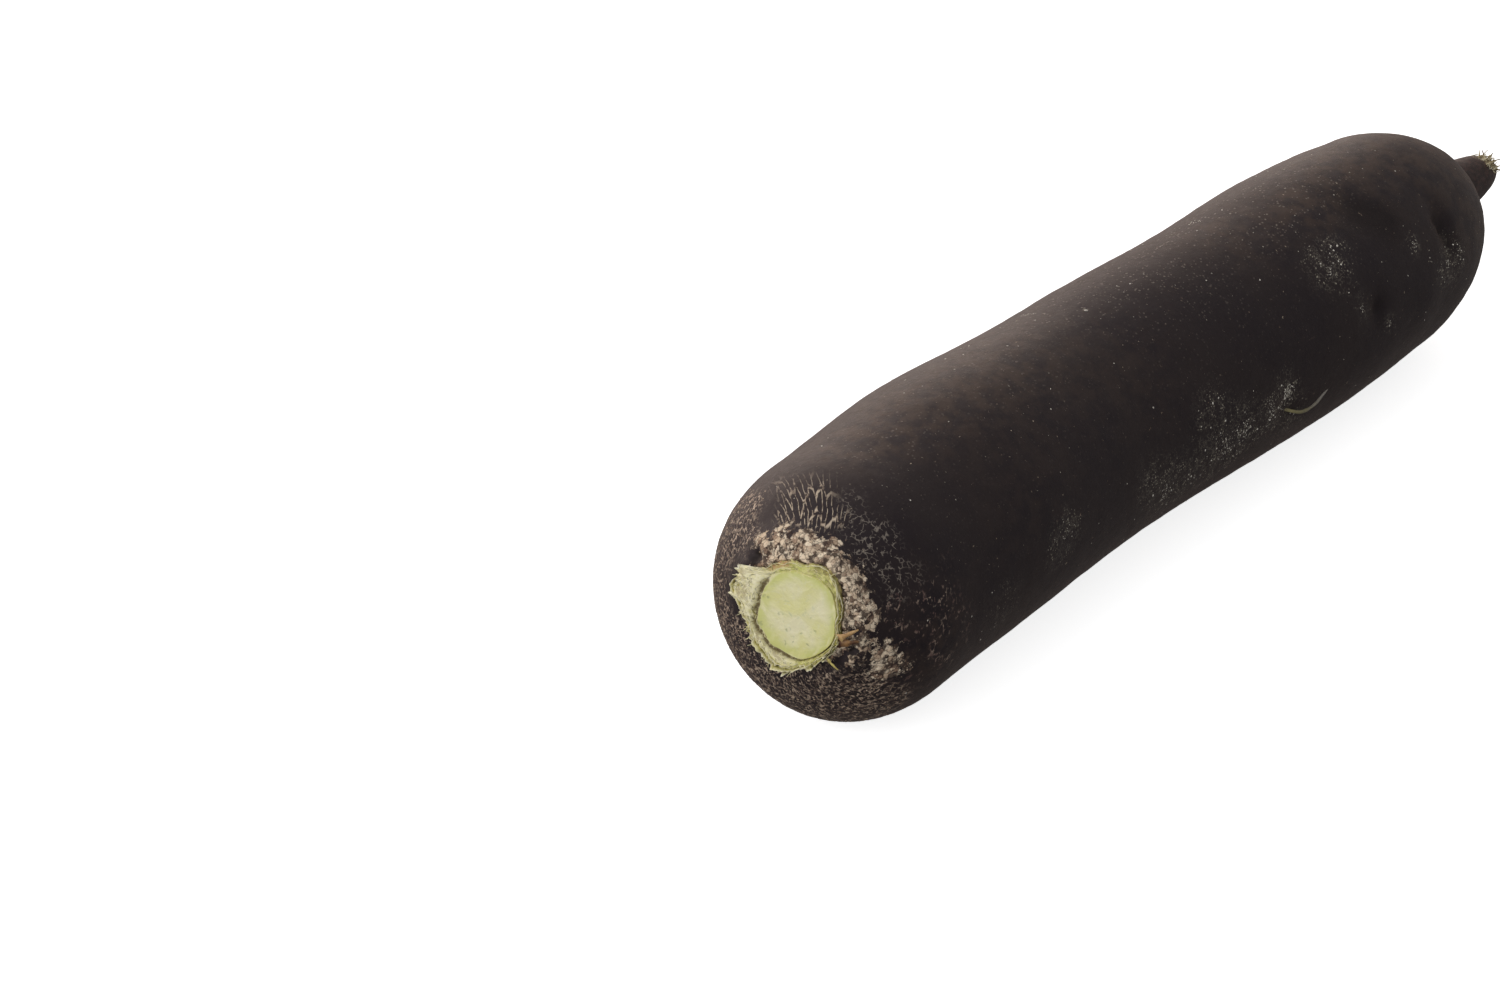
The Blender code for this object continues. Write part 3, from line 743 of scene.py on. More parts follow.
def make_stump(material):
    """Cut stump: face, groove and torn flange, and a wall down into the crown's pocket."""
    angles = np.linspace(0, 2 * math.pi, STUMP_TURNS, endpoint=False)
    shares = np.concatenate([np.linspace(0, RIM_START, FACE_STEPS + 1)[1:],
                             np.linspace(RIM_START, 1.0, RIM_STEPS + 1)[1:]])
    share, angle = np.meshgrid(shares, angles, indexing="ij")
    height, inside, groove, out = stump_height(share, angle)
    turn = round_rim(angle)
    corner = CORNER_REACH * side_weight(angle, *CORNER)
    ragged = share * (1 + out * (0.050 * cloud(turn, 0.7, 3) + 0.055 * cloud(turn, 2.2, 2) + corner))
    floor = -STUMP_POCKET_DEPTH + POCKET_GAP
    rows = [stump_point(ragged, angle, STUMP_FACE_HEIGHT + height)]
    rows += stump_wall(angles, turn[-1], ragged[-1], STUMP_FACE_HEIGHT + height[-1], floor)
    points = np.concatenate(rows)
    flat = np.concatenate([stump_point(0.0, 0.0, STUMP_FACE_HEIGHT + 0.2 * MM)[None],
                           points.reshape(-1, 3), stump_point(0.0, 0.0, floor)[None]])
    faces = cap(0, 1, STUMP_TURNS, True)
    for first in range(1, 1 + (len(points) - 1) * STUMP_TURNS, STUMP_TURNS):
        faces += [f[::-1] for f in between_rings(first, first + STUMP_TURNS, STUMP_TURNS)]
    faces += cap(len(flat) - 1, 1 + (len(points) - 1) * STUMP_TURNS, STUMP_TURNS, False)
    thing = add_mesh("cut_stump", flat, faces, material)

    def spread(values, middle, wall):
        """Values of the face, with one value at its middle and one on the wall."""
        walls = np.full((WALL_STEPS, STUMP_TURNS), wall)
        return np.concatenate([[middle], np.concatenate([values, walls]).ravel(), [wall]])

    def drawn_down(values):
        """Values of the face, with the rim's own values down the wall."""
        walls = np.repeat(values[-1:], WALL_STEPS, 0)
        return np.concatenate([[0.0], np.concatenate([values, walls]).ravel(), [0.0]])
    # The groove's mask stays at 0.6 down the wall into the pocket, so painted shade darkens that wall too
    masks = (("face", inside, 1.0, 0.0), ("groove", groove, 0.0, 0.6), ("rim", out, 0.0, 1.0),
             ("left", side_weight(angle, -20, 75), 0.0, 0.0),
             ("right", side_weight(angle, 165, 55), 0.0, 1.0),
             ("share", share * stump_radius(angle) / FACE_RADIUS, 0.0, 1.0),
             ("rust", side_weight(angle, 66, 14, 14), 0.0, 0.0))
    for name, values, middle, wall in masks:
        paint(thing, name, spread(values, middle, wall))
    a, b = (drawn_down(share * curve(angle) * NOISE_SPAN) for curve in (np.cos, np.sin))
    paint(thing, "cut_place", np.column_stack([a, b, 0 * a]))
    rings = [spread(v, 0.0, 0.0) for v in (3 * np.cos(angle), 3 * np.sin(angle), 14 * share)]
    paint(thing, "cut_rings", np.column_stack(rings))
    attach(thing, "root")
    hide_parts("leaf_stump")
    return thing


# Torn layers on the rim: (from, to in degrees on the rim, share at the start and end, height in mm, lean)
TORN_LAYERS = (
    (24, -70, 0.985, 0.97, 0.75, 0.5), (16, -62, 0.93, 0.90, 0.45, 0.2),
    (-30, -118, 0.93, 0.965, 0.95, 0.8), (-48, -104, 0.885, 0.90, 0.50, 0.1),
    (-72, -150, 0.985, 0.985, 1.05, 1.0), (-95, -160, 0.93, 0.94, 0.75, 0.5),
    (30, 95, 0.985, 0.95, 0.45, 0.5), (100, 150, 0.96, 0.97, 0.75, 0.2),
    (142, 212, 0.975, 0.97, 0.80, 0.5), (125, 178, 0.93, 0.91, 0.60, 0.0),
    (165, 222, 0.92, 0.93, 0.60, 0.1), (190, 236, 0.985, 0.985, 0.85, 0.6),
    (40, 80, 0.90, 0.88, 0.30, 0.1), (-5, -50, 0.835, 0.83, 0.50, 0.0),
)
LAYER_SUNK = 0.00025
LAYER_FOOT = 0.00028
LAYER_THICK, LAYER_THIN = 0.00011, 0.00004
RIM_FIBRES = 60
RIM_FIBRE_RADIUS = 0.00013


def make_torn_rim(material):
    """Thin torn layers of leaf base that stand on the rim, and fibres at their edge."""
    random = np.random.default_rng(11)
    outward = STUMP[1]
    strands = Strands()
    for first, last, share_a, share_b, high, lean in TORN_LAYERS:
        count = int(abs(last - first) / 0.9)
        turns = np.radians(np.linspace(first, last, count))
        t = np.linspace(0, 1, count)
        shares = share_a + (share_b - share_a) * t + 0.040 * (wobble(count, random, 7) - 0.5)
        fade = np.minimum(1, np.minimum(t, 1 - t) * 9)
        rise = high * MM * fade * (0.15 + 0.85 * wobble(count, random, 3) * (0.5 + wobble(count, random, 9)))
        ground = STUMP_FACE_HEIGHT + stump_height(shares, turns)[0] - LAYER_SUNK
        base = stump_point(shares, turns, ground)
        away = stump_point(shares + 0.02, turns, ground) - base
        away /= np.linalg.norm(away, axis=1, keepdims=True)
        top = base + outward * (rise + LAYER_FOOT)[:, None] + away * (lean * rise)[:, None]
        thick, thin = away * LAYER_THICK, away * LAYER_THIN
        tones = [(0.25, 0.75 + 0.25 * x) for x in wobble(count, random, 4)]
        strands.add_ribbon(np.stack([base - thick, base + thick, top + thin, top - thin], 1), tones)
    steps = np.linspace(0, 1, 6)
    for _ in range(RIM_FIBRES):
        turn = math.radians(random.choice((random.uniform(-130, 30), random.uniform(-180, 180))))
        share = random.uniform(0.90, 1.0)
        ground = STUMP_FACE_HEIGHT + float(stump_height(np.array(share), np.array(turn))[0])
        start = stump_point(share, turn, ground - 0.2 * MM)
        aim = stump_point(share + 0.1, turn + random.normal(0, 0.14), ground) - start
        aim = aim / np.linalg.norm(aim) + outward * random.uniform(-0.2, 0.8)
        length = random.uniform(0.3, 1.3) * MM
        bend = random.normal(0, 0.35, 3)
        radii = RIM_FIBRE_RADIUS * (1 - 0.65 * steps)
        strands.add_bent(start, aim, bend, length, radii, 0.3 + 0.5 * steps, 5)
    return strands.make("torn_rim", material)


# Scraps: (turn on the rim, heading, share of the rim, length, width, rise, curl, tone), angles in degrees
SCRAPS = (
    (SCALE_ANGLE, SCALE_HEADING, SCALE_ROOTED, SCALE_LENGTH, SCALE_WIDTH * 0.62,
     SCALE_RISE, SCALE_CURL, 0.25),
    (SCALE_ANGLE + 6, SCALE_HEADING + 22, SCALE_ROOTED, SCALE_LENGTH * 0.80, SCALE_WIDTH * 0.75,
     10, -60, 0.0),
    (SCALE_ANGLE + 22, 222.0, 0.99, SCALE_LENGTH * 0.52, SCALE_WIDTH * 0.34, 2, -35, 0.75),
)
# Corners of a scrap's section: (side, share of its cup, face)
SCRAP_SECTION = ((-1, 1.0, -1), (1, 0.2, -1), (1, 0.2, 1), (-1, 1.0, 1))
SCRAP_STEPS = 26
SCRAP_THICK = 0.0001


def make_scraps(material):
    """Dried leaf base beside the stump, and a yellow bit below it."""
    middle, outward, across, up = STUMP
    random = np.random.default_rng(5)
    strands = Strands()
    for turn, heading, rooted, length, width, rise, curl, tone in SCRAPS:
        away = across * math.cos(math.radians(heading)) + up * math.sin(math.radians(heading))
        aside = np.cross(outward, away)
        centre = stump_point(rooted, math.radians(turn), STUMP_FACE_HEIGHT - SCALE_SUNK)
        rows = []
        for t, ragged in zip(np.linspace(0, 1, SCRAP_STEPS), wobble(SCRAP_STEPS, random, 3)):
            bend = math.radians(rise + curl * t)
            direction = away * math.cos(bend) + outward * math.sin(bend)
            over = np.cross(direction, aside)
            half = width * (1 - 0.80 * t**1.5) * (0.60 + 0.7 * ragged) / 2
            cup = over * half * 0.8
            rows.append([centre + aside * half * side - cup * cupped + over * SCRAP_THICK * face
                         for side, cupped, face in SCRAP_SECTION])
            centre = centre + direction * length / (SCRAP_STEPS - 1)
        tones = [(tone, tone + 0.25 * x) for x in wobble(SCRAP_STEPS, random, 4)]
        strands.add_ribbon(np.array(rows), tones)
    return strands.make("dry_scraps", material)


# Crumbs, dust and rootlets

CRUMB_TRIES = 60000
CRUMB_SHARE = 0.30
DUST_TRIES = 30000
DUST_FLOOR = 0.002
MEAN_RADIUS = 0.027
ROOTLET_STEPS = 64
TAIL_FIBRES = 70
TAIL_FIBRE_AIM = np.array((0.9, -0.5, 0.1))


def on_skin(along, around, sink):
    """Points on the fine skin, sunk a little, with their outward normals."""
    normals = outward_of(along, around)
    points = skin(along, around)
    return points + normals * (skin_relief(points, along)[0] - sink)[:, None], normals


def make_crumbs(material):
    """Corky grains of the crust round the stump and across the crown."""
    random = np.random.default_rng(21)
    along = CROWN_ROUND * random.uniform(0.02, 1.0, CRUMB_TRIES) ** 1.5
    around = random.uniform(-math.pi, math.pi, CRUMB_TRIES)
    points = skin(along, around)
    share, _ = place_on_stump(points)
    cork, granular = crust_masks(points)
    chance = np.maximum(cork**1.6 * 0.8, granular * 0.30) * (0.6 + 0.6 * cloud(points, 2.5 * MM, 2))
    chance *= radius_at(along) / 0.03
    kept = (random.uniform(0, 1, CRUMB_TRIES) < chance * CRUMB_SHARE) & (share > 1.02)
    along, around, cork = along[kept], around[kept], cork[kept]
    count = len(along)
    sizes = random.uniform(0.10, 0.24, count) * MM * (1 + 1.5 * cork * random.uniform(0, 1, count) ** 3)
    tones = np.clip(random.normal(0.30 + 0.40 * cork, 0.20), 0, 1)
    centres, normals = on_skin(along, around, 0.35 * sizes)
    return make_lumps("cork_crumbs", centres, normals, sizes, 0.8, tones, random, material)


def make_dust(material):
    """Pale dust and soil specks over the whole skin."""
    random = np.random.default_rng(33)
    along = random.uniform(0.002, ROOT_LENGTH - 0.004, DUST_TRIES)
    around = random.uniform(-math.pi, math.pi, DUST_TRIES)
    points = skin(along, around)
    share, _ = place_on_stump(points)
    scuffs = patches(points, SCUFFS) * step_up(cloud(points, 2.5 * MM, 3), -0.1, 0.35)
    chance = 0.035 + 0.09 * patches(points, DUSTY) + 0.8 * scuffs**1.5
    kept = (random.uniform(0, 1, DUST_TRIES) < chance) & (share > 1.05) & (points[:, 2] > DUST_FLOOR)
    along, around, scuffs = along[kept], around[kept], scuffs[kept]
    count = len(along)
    bright = random.uniform(0, 1, count) ** (5 - 3 * scuffs)
    sizes = (0.055 + 0.045 * random.uniform(0, 1, count) + 0.13 * bright) * (1 + 0.35 * scuffs) * MM
    tones = np.clip(0.15 + 0.35 * random.uniform(0, 1, count) + 0.6 * bright + 0.25 * scuffs, 0, 1)
    centres, normals = on_skin(along, around, np.zeros(count))
    return make_lumps("dust_specks", centres, normals, sizes, 0.45, tones, random, material)


# Clusters of small pale nubs: (along, around in degrees, reach in mm, count, least and most size in mm)
NUBS = (
    (116.1, 0.8, 0.45, 9, 0.16, 0.36), (171.7, -18, 1.6, 22, 0.08, 0.18), (109.5, -21.8, 1.8, 16, 0.07, 0.16),
    (139.0, 97, 3.4, 80, 0.08, 0.18), (132, 101, 3.4, 60, 0.08, 0.18), (110, 104, 2.6, 40, 0.08, 0.18),
    (69, 85.5, 2.0, 30, 0.08, 0.17), (150, 94, 3.4, 50, 0.08, 0.16), (182.4, 46, 2.6, 20, 0.06, 0.13),
    (225, 79, 1.6, 16, 0.08, 0.2), (217, 72, 1.0, 4, 0.1, 0.2),
    (156.7, 90.5, 1.9, 90, 0.10, 0.23), (155.0, 97, 1.6, 50, 0.08, 0.17), (197, 88, 1.3, 14, 0.10, 0.22),
    (231, 78, 2.2, 16, 0.10, 0.24), (213.5, 60, 1.2, 16, 0.08, 0.16), (187, 72, 1.0, 10, 0.07, 0.14),
    (92, -80, 2.2, 40, 0.06, 0.14), (187, -97, 2.2, 40, 0.06, 0.14),
)


def make_nubs(material):
    """Pale nubs where side roots broke off."""
    random = np.random.default_rng(47)
    alongs, arounds, sizes = [], [], []
    for along, around, reach, count, least, most in NUBS:
        alongs.append((along + random.normal(0, reach * 0.5, count)) * MM)
        arounds.append(np.radians(around) + random.normal(0, reach * 0.5, count) * MM / MEAN_RADIUS)
        sizes.append(random.uniform(least, most, count) * MM)
    along, around, size = (np.concatenate(part) for part in (alongs, arounds, sizes))
    tones = random.uniform(0.30, 1.0, len(along))
    centres, normals = on_skin(along, around, 0.2 * size)
    return make_lumps("root_nubs", centres, normals, size, 0.7, tones, random, material)


def make_rootlets(material):
    """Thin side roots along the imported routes."""
    random = np.random.default_rng(3)
    strands = Strands()
    shares = np.linspace(0, 1, ROOTLET_STEPS)
    for route in ROOTLETS.values():
        stops = np.linspace(0, 1, len(route))
        along, around, lift = (through(tuple(zip(stops, values)), shares) for values in zip(*route))
        lift = lift + (wobble(ROOTLET_STEPS, random, 7) - 0.5) * 0.25 * MM * shares
        centres = [over_skin(a, math.radians(b), c) for a, b, c in zip(along, around, lift)]
        radii = ROOTLET_RADIUS + (ROOTLET_TIP_RADIUS - ROOTLET_RADIUS) * shares
        radii = radii * (0.60 + 0.35 * wobble(ROOTLET_STEPS, random, 5))
        radii = radii * np.minimum(1, (1 - shares) * 12 + 0.35)
        strands.add(centres, radii, shares, sides=12)
    return strands.make("side_roots", material)


def make_tail_fibres(material):
    """Torn pale fibres at the snapped tip of the tail."""
    random = np.random.default_rng(8)
    strands = Strands()
    steps = np.linspace(0, 1, 7)
    for _ in range(TAIL_FIBRES):
        around = random.normal(0.50, 0.34)
        along = FULL_LENGTH - random.uniform(0.0045, 0.0080)
        start = over_skin(along, around, -0.2 * MM)
        out = outward_of(np.array(along), np.array(around))
        aim = TAIL_FIBRE_AIM * random.uniform(0.4, 1.0) + out * random.uniform(0.1, 0.7)
        bend = random.normal(0, 0.5, 3)
        length = random.uniform(0.7, 1.8) * MM
        radii = random.uniform(0.12, 0.26) * MM * (1 - 0.5 * steps)
        strands.add_bent(start, aim, bend, length, radii, random.uniform(0.2, 1.0) * np.ones(7), 6)
    return strands.make("tail_fibres", material)


# Node helpers

class Value:
    """Output of a node. Numbers can be added, subtracted and multiplied."""

    def __init__(self, shader, socket):
        self.shader = shader
        self.socket = socket

    def __add__(self, other):
        return self.shader.math("ADD", self, other)

    def __sub__(self, other):
        return self.shader.math("SUBTRACT", self, other)

    def __rsub__(self, other):
        return self.shader.math("SUBTRACT", other, self)

    def __mul__(self, other):
        return self.shader.math("MULTIPLY", self, other)

    __rmul__ = __mul__


class Shader:
    """Short way to build a material's nodes."""

    def __init__(self, name):
        self.material = bpy.data.materials.new(name)
        self.material.use_nodes = True
        self.tree = self.material.node_tree
        self.surface = self.tree.nodes["Principled BSDF"]

    def made(self, kind, inputs=(), **settings):
        """Node of this kind."""
        node = self.tree.nodes.new("ShaderNode" + kind)
        for key, value in settings.items():
            setattr(node, key, value)
        for key, value in dict(inputs).items():
            self.feed(node.inputs[key], value)
        return node

    def value(self, output, kind, inputs=(), **settings):
        """Output of a node of this kind."""
        return Value(self, self.made(kind, inputs, **settings).outputs[output])

    def feed(self, socket, value):
        if isinstance(value, Value):
            self.tree.links.new(value.socket, socket)
        elif isinstance(value, tuple) and socket.type == "RGBA":
            socket.default_value = (*value, 1)
        else:
            socket.default_value = value

    def mark(self, name):
        """Painted value of this name."""
        return self.value("Fac", "Attribute", attribute_name=name, attribute_type="GEOMETRY")

    def place(self, name):
        """Painted place of this name."""
        return self.value("Vector", "Attribute", attribute_name=name, attribute_type="GEOMETRY")

    def math(self, operation, a, b):
        return self.value(0, "Math", {0: a, 1: b}, operation=operation)

    def vector(self, operation, a, b):
        return self.value(0, "VectorMath", {0: a, 1: b}, operation=operation)

    def remap(self, value, low, high, new_low=0.0, new_high=1.0):
        """Smooth step from new_low at low to new_high at high."""
        inputs = {"Value": value, "From Min": low, "From Max": high, "To Min": new_low, "To Max": new_high}
        return self.value("Result", "MapRange", inputs, interpolation_type="SMOOTHSTEP")

    def mix(self, share, a, b):
        """Colour a, covered by this share of colour b."""
        node = self.made("Mix", data_type="RGBA")
        sockets = {s.identifier: s for s in node.inputs}
        for name, value in (("Factor_Float", share), ("A_Color", a), ("B_Color", b)):
            self.feed(sockets[name], value)
        return Value(self, next(s for s in node.outputs if s.identifier == "Result_Color"))

    def millimetres(self):
        """Place on the object in mm."""
        place = self.value("Object", "TexCoord")
        return self.vector("MULTIPLY", place, (1 / MM, 1 / MM, 1 / MM))

    def cloud(self, place, scale, detail=2.0, roughness=0.5):
        """Noise from 0 to 1 at these places."""
        inputs = {"Vector": place, "Scale": scale, "Detail": detail, "Roughness": roughness}
        return self.value(0, "TexNoise", inputs)

    def spots(self, low, high, *noise_settings):
        """Soft patches: where the noise rises from low to high."""
        return self.remap(self.cloud(*noise_settings), low, high)

    def jittered(self, place, scale, amount):
        """Place pushed about by noise, so that cells and lines don't look ruled."""
        colour = self.value(1, "TexNoise", {"Vector": place, "Scale": scale, "Detail": 2.0})
        centred = self.vector("SUBTRACT", colour, (0.5, 0.5, 0.5))
        return self.vector("ADD", place, self.vector("MULTIPLY", centred, (amount, amount, amount)))

    def cells(self, place, scale, feature="F1", output="Distance"):
        """Distance to the nearest cell middle, or another output of the cells."""
        return self.value(output, "TexVoronoi", {"Vector": place, "Scale": scale}, feature=feature)

    def cell_tone(self, place, scale):
        """Random number from 0 to 1 for each cell."""
        return self.value(0, "RGBToBW", {"Color": self.cells(place, scale, output="Color")})

    def cell_edge(self, place, scale=1.0):
        """Distance to the edge of the cell."""
        return self.cells(place, scale, "DISTANCE_TO_EDGE")

    def flat_cell_edge(self, place, randomness):
        """Distance to the edge of flat cells, which look like masonry at low randomness."""
        inputs = {"Vector": place, "Scale": 1.0, "Randomness": randomness}
        settings = {"feature": "DISTANCE_TO_EDGE", "voronoi_dimensions": "2D"}
        return self.value("Distance", "TexVoronoi", inputs, **settings)

    def ramp(self, value, stops):
        """Colour of this value between the stops."""
        node = self.made("ValToRGB", {"Fac": value})
        band = node.color_ramp
        while len(band.elements) < len(stops):
            band.elements.new(0.5)
        for element, (place, colour) in zip(band.elements, stops):
            element.position = place
            element.color = (*colour, 1)
        return Value(self, node.outputs["Color"])

    def bump(self, height, distance, strength, normal=None):
        inputs = {"Height": height, "Distance": distance, "Strength": strength}
        if normal is not None:
            inputs["Normal"] = normal
        return self.value("Normal", "Bump", inputs)

    def finish(self, **inputs):
        """The material, with these values on its surface."""
        for key, value in inputs.items():
            self.feed(self.surface.inputs[key.replace("_", " ")], value)
        return self.material


# Colours of the skin, linear
BLACK = (0.0066, 0.0045, 0.0082)
BROWN_BLACK = (0.0132, 0.0092, 0.0105)
WARM_BROWN_AND_HIGHLIGHT = (0.042, 0.027, 0.0205)
DUST_GREY = (0.25, 0.215, 0.175)
SHADE_BLACK = (0.006, 0.005, 0.006)
FISSURE_TONES = ((0.24, 0.175, 0.125), (0.60, 0.49, 0.37))
GRANULAR_TONES = ((0.095, 0.064, 0.050), (0.62, 0.475, 0.355))
NET_GREY = (0.25, 0.215, 0.18)
DASH_TONES = ((0.17, 0.105, 0.090), (0.42, 0.32, 0.25))
OLIVE_GREY = (0.16, 0.145, 0.12)
SCUFF_PALE = (0.50, 0.455, 0.355)
CRUST_STOPS = ((0.22, (0.085, 0.054, 0.040)), (0.34, (0.34, 0.230, 0.160)),
               (0.46, (0.60, 0.455, 0.320)), (0.64, (0.84, 0.700, 0.530)))
CRUST_BEIGE = (0.72, 0.585, 0.430)
CRUST_CREVICE_SHADE = (0.045, 0.030, 0.024)
CRUST_GAP = (0.040, 0.026, 0.021)
PIT_SHADE_BLACK = (0.0045, 0.0032, 0.0030)
TAIL_TONES = ((0.019, 0.011, 0.010), (0.056, 0.029, 0.025))
SCAR_BROWN_AND_CREASE_SHADE = (0.036, 0.014, 0.011)
TORN_TONES = ((0.080, 0.060, 0.036), (0.48, 0.40, 0.27))

# Colours of the stump, linear
FACE_TONES = ((0.72, 0.685, 0.31), (0.80, 0.75, 0.49))
VEIN_PALE = (0.74, 0.72, 0.53)
FACE_GREEN = (0.58, 0.59, 0.175)
SPECK_GREEN = (0.36, 0.37, 0.17)
STAR_GREEN = (0.40, 0.45, 0.26)
FLANGE_TONES = ((0.52, 0.52, 0.125), (0.70, 0.64, 0.31))
CREAM_TONES = ((0.76, 0.70, 0.36), (0.87, 0.81, 0.55))
DULL_TONES = ((0.28, 0.230, 0.065), (0.66, 0.62, 0.180))
EDGE_TONES = ((0.34, 0.23, 0.105), (0.84, 0.80, 0.60))
CREVICE_SHADE_BROWN = (0.14, 0.105, 0.035)
DRY_BROWN = (0.34, 0.26, 0.11)
RUST_BROWN = (0.46, 0.255, 0.115)
GROOVE_SHADE_BROWN = (0.135, 0.090, 0.035)


# Layers of the skin. Scales are per mm, and cell distances are in cells

def ground_colour(s, mm):
    """Near black with browner clouds, and tan-brown patches in the sheen, partly the skin's own colour and
    partly painted highlight.
    """
    colour = s.mix(s.spots(0.35, 0.68, mm, 0.045, 3), BLACK, BROWN_BLACK)
    colour = s.mix(0.6 * s.spots(0.40, 0.75, mm, 0.45, 4), colour, BROWN_BLACK)
    # Tan-brown patches: partly the skin's own colour, partly painted highlight that brightens where the sheen
    # falls
    return s.mix(s.mark("warm_and_highlight") * s.spots(0.38, 0.62, mm, 0.22, 4, 0.6), colour, WARM_BROWN_AND_HIGHLIGHT)


def dust_share(s, mm):
    """Share of the fine dust dots."""
    place = s.jittered(mm, 0.9, 0.5)
    dots = s.remap(s.cells(place, 1.15), 0.36, 0.14) * s.remap(s.cell_tone(place, 1.15), 0.42, 0.58)
    return dots * (s.mark("dusty") + 0.07) * s.spots(0.38, 0.58, mm, 0.35, 2)


def fissure_layer(s, mm):
    """Share and colour of the pale fissures above the crust."""
    place = s.jittered(s.place("fissure_place"), 0.40, 0.8)
    place = s.vector("MULTIPLY", place, (1 / 6.5, 1 / 1.05, 1.0))
    wide = s.cloud(mm, 0.9, 3)
    lines = s.remap(s.flat_cell_edge(place, 0.85), 0.11, 0.04) * s.remap(wide, 0.37, 0.50)
    return lines * s.remap(s.mark("fissure"), 0.12, 0.90), s.mix(s.remap(wide, 0.40, 0.62), *FISSURE_TONES)


def granular_layer(s, mm, round_stump):
    """Share and colour of the fine grains, single and in rows round the stump."""
    place = s.jittered(mm, 0.9, 0.7)
    grit = s.remap(s.cells(place, 1.45), 0.44, 0.20) * s.remap(s.cell_tone(place, 1.45), 0.42, 0.60)
    place = s.vector("MULTIPLY", s.jittered(round_stump, 0.6, 0.9), (1 / 1.5, 1 / 0.85, 1.0))
    rows = s.remap(s.cell_edge(place), 0.15, 0.05) * s.spots(0.42, 0.58, mm, 1.2, 3)
    share = s.math("MAXIMUM", grit, rows) * s.remap(s.mark("granular"), 0.05, 0.60)
    return share, s.mix(s.spots(0.38, 0.62, mm, 0.9, 3), *GRANULAR_TONES)


def net_share(s, mm):
    """Share of the grey net beside the crust."""
    lines = s.remap(s.cell_edge(s.jittered(mm, 0.6, 1.4), 0.85), 0.095, 0.025)
    return lines * s.spots(0.44, 0.58, mm, 0.8, 3) * s.remap(s.mark("grey_net"), 0.12, 0.8)


def dash_layer(s, mm, round_stump):
    """Share and colour of the reddish tan dashes."""
    place = s.vector("MULTIPLY", s.jittered(round_stump, 0.7, 1.0), (1 / 0.9, 1 / 1.9, 1.0))
    share = s.remap(s.cell_edge(place), 0.13, 0.04) * s.spots(0.50, 0.60, mm, 0.85, 4, 0.6)
    share = share * s.remap(s.mark("dashes"), 0.12, 0.90) * s.spots(0.40, 0.56, mm, 0.28, 2)
    return share, s.mix(s.spots(0.42, 0.64, mm, 0.5, 2), *DASH_TONES)


def scuffed(s, mm, colour):
    """Colour with a thin haze, faint lines and pale motes on the scuffs."""
    lines = s.remap(s.cell_edge(s.jittered(mm, 0.7, 1.2), 1.1), 0.11, 0.03)
    lines = lines * s.spots(0.46, 0.58, mm, 0.55, 5, 0.7)
    place = s.jittered(mm, 1.1, 0.6)
    motes = s.remap(s.cells(place, 1.7), 0.40, 0.16) * s.remap(s.cell_tone(place, 1.7), 0.44, 0.58)
    motes = motes * s.spots(0.44, 0.56, mm, 0.42, 4, 0.65)
    flecks = s.math("MAXIMUM", 0.22 * lines, motes) * s.remap(s.mark("scuff"), 0.08, 0.6)
    haze = 0.13 * s.spots(0.44, 0.68, mm, 0.30, 5, 0.75) * s.mark("scuff")
    return s.mix(0.85 * flecks, s.mix(haze, colour, OLIVE_GREY), SCUFF_PALE)


def crusted(s, mm, colour):
    """Colour with the corky crust, the crust's share and the distance from its lumps' middles."""
    place = s.jittered(mm, 0.9, 0.6)
    tone = 0.7 * s.cell_tone(place, 0.85) + 0.3 * s.cloud(mm, 1.4, 3)
    crust = s.ramp(tone, CRUST_STOPS)
    crust = s.mix(s.mark("beige") * s.spots(0.30, 0.46, mm, 1.3, 4), crust, CRUST_BEIGE)
    # Dark lines between the crust's lumps: painted shade in the creases between them
    crust = s.mix(0.55 * s.remap(s.cell_edge(place, 0.85), 0.11, 0.03), crust, CRUST_CREVICE_SHADE)
    crust = s.mix(0.88 * s.spots(0.525, 0.425, mm, 0.60, 4, 0.65), crust, CRUST_GAP)
    shown = s.remap(s.mark("cork") + 1.3 * (s.cloud(mm, 0.9, 4, 0.7) - 0.5), 0.20, 0.32)
    return s.mix(shown * s.remap(tone, 0.12, 0.30), colour, crust), shown, s.cells(place, 0.85)


def ends_coloured(s, mm, colour):
    """Colour with the pits in painted shade, the brown tail, its scarred ring, partly painted crease shade,
    and its torn tip.
    """
    # Pits are painted near black: painted shade inside their hollows
    pit = s.mark("pit") + (s.cloud(mm, 0.9, 3) - 0.5)
    colour = s.mix(s.remap(pit, 0.30, 0.70), colour, PIT_SHADE_BLACK)
    colour = s.mix(s.mark("tail"), colour, s.mix(s.spots(0.40, 0.65, mm, 0.8, 3), *TAIL_TONES))
    # Dark brown ring where the tail meets the root: partly a scarred ring, partly painted crease shade
    colour = s.mix(0.8 * s.mark("scar_and_crease_shade"), colour, SCAR_BROWN_AND_CREASE_SHADE)
    torn = s.remap(s.mark("torn_tip"), 0.25, 0.75) * s.spots(0.40, 0.52, mm, 1.6, 4, 0.7)
    return s.mix(torn, colour, s.mix(s.spots(0.40, 0.62, mm, 2.4, 3), *TORN_TONES))


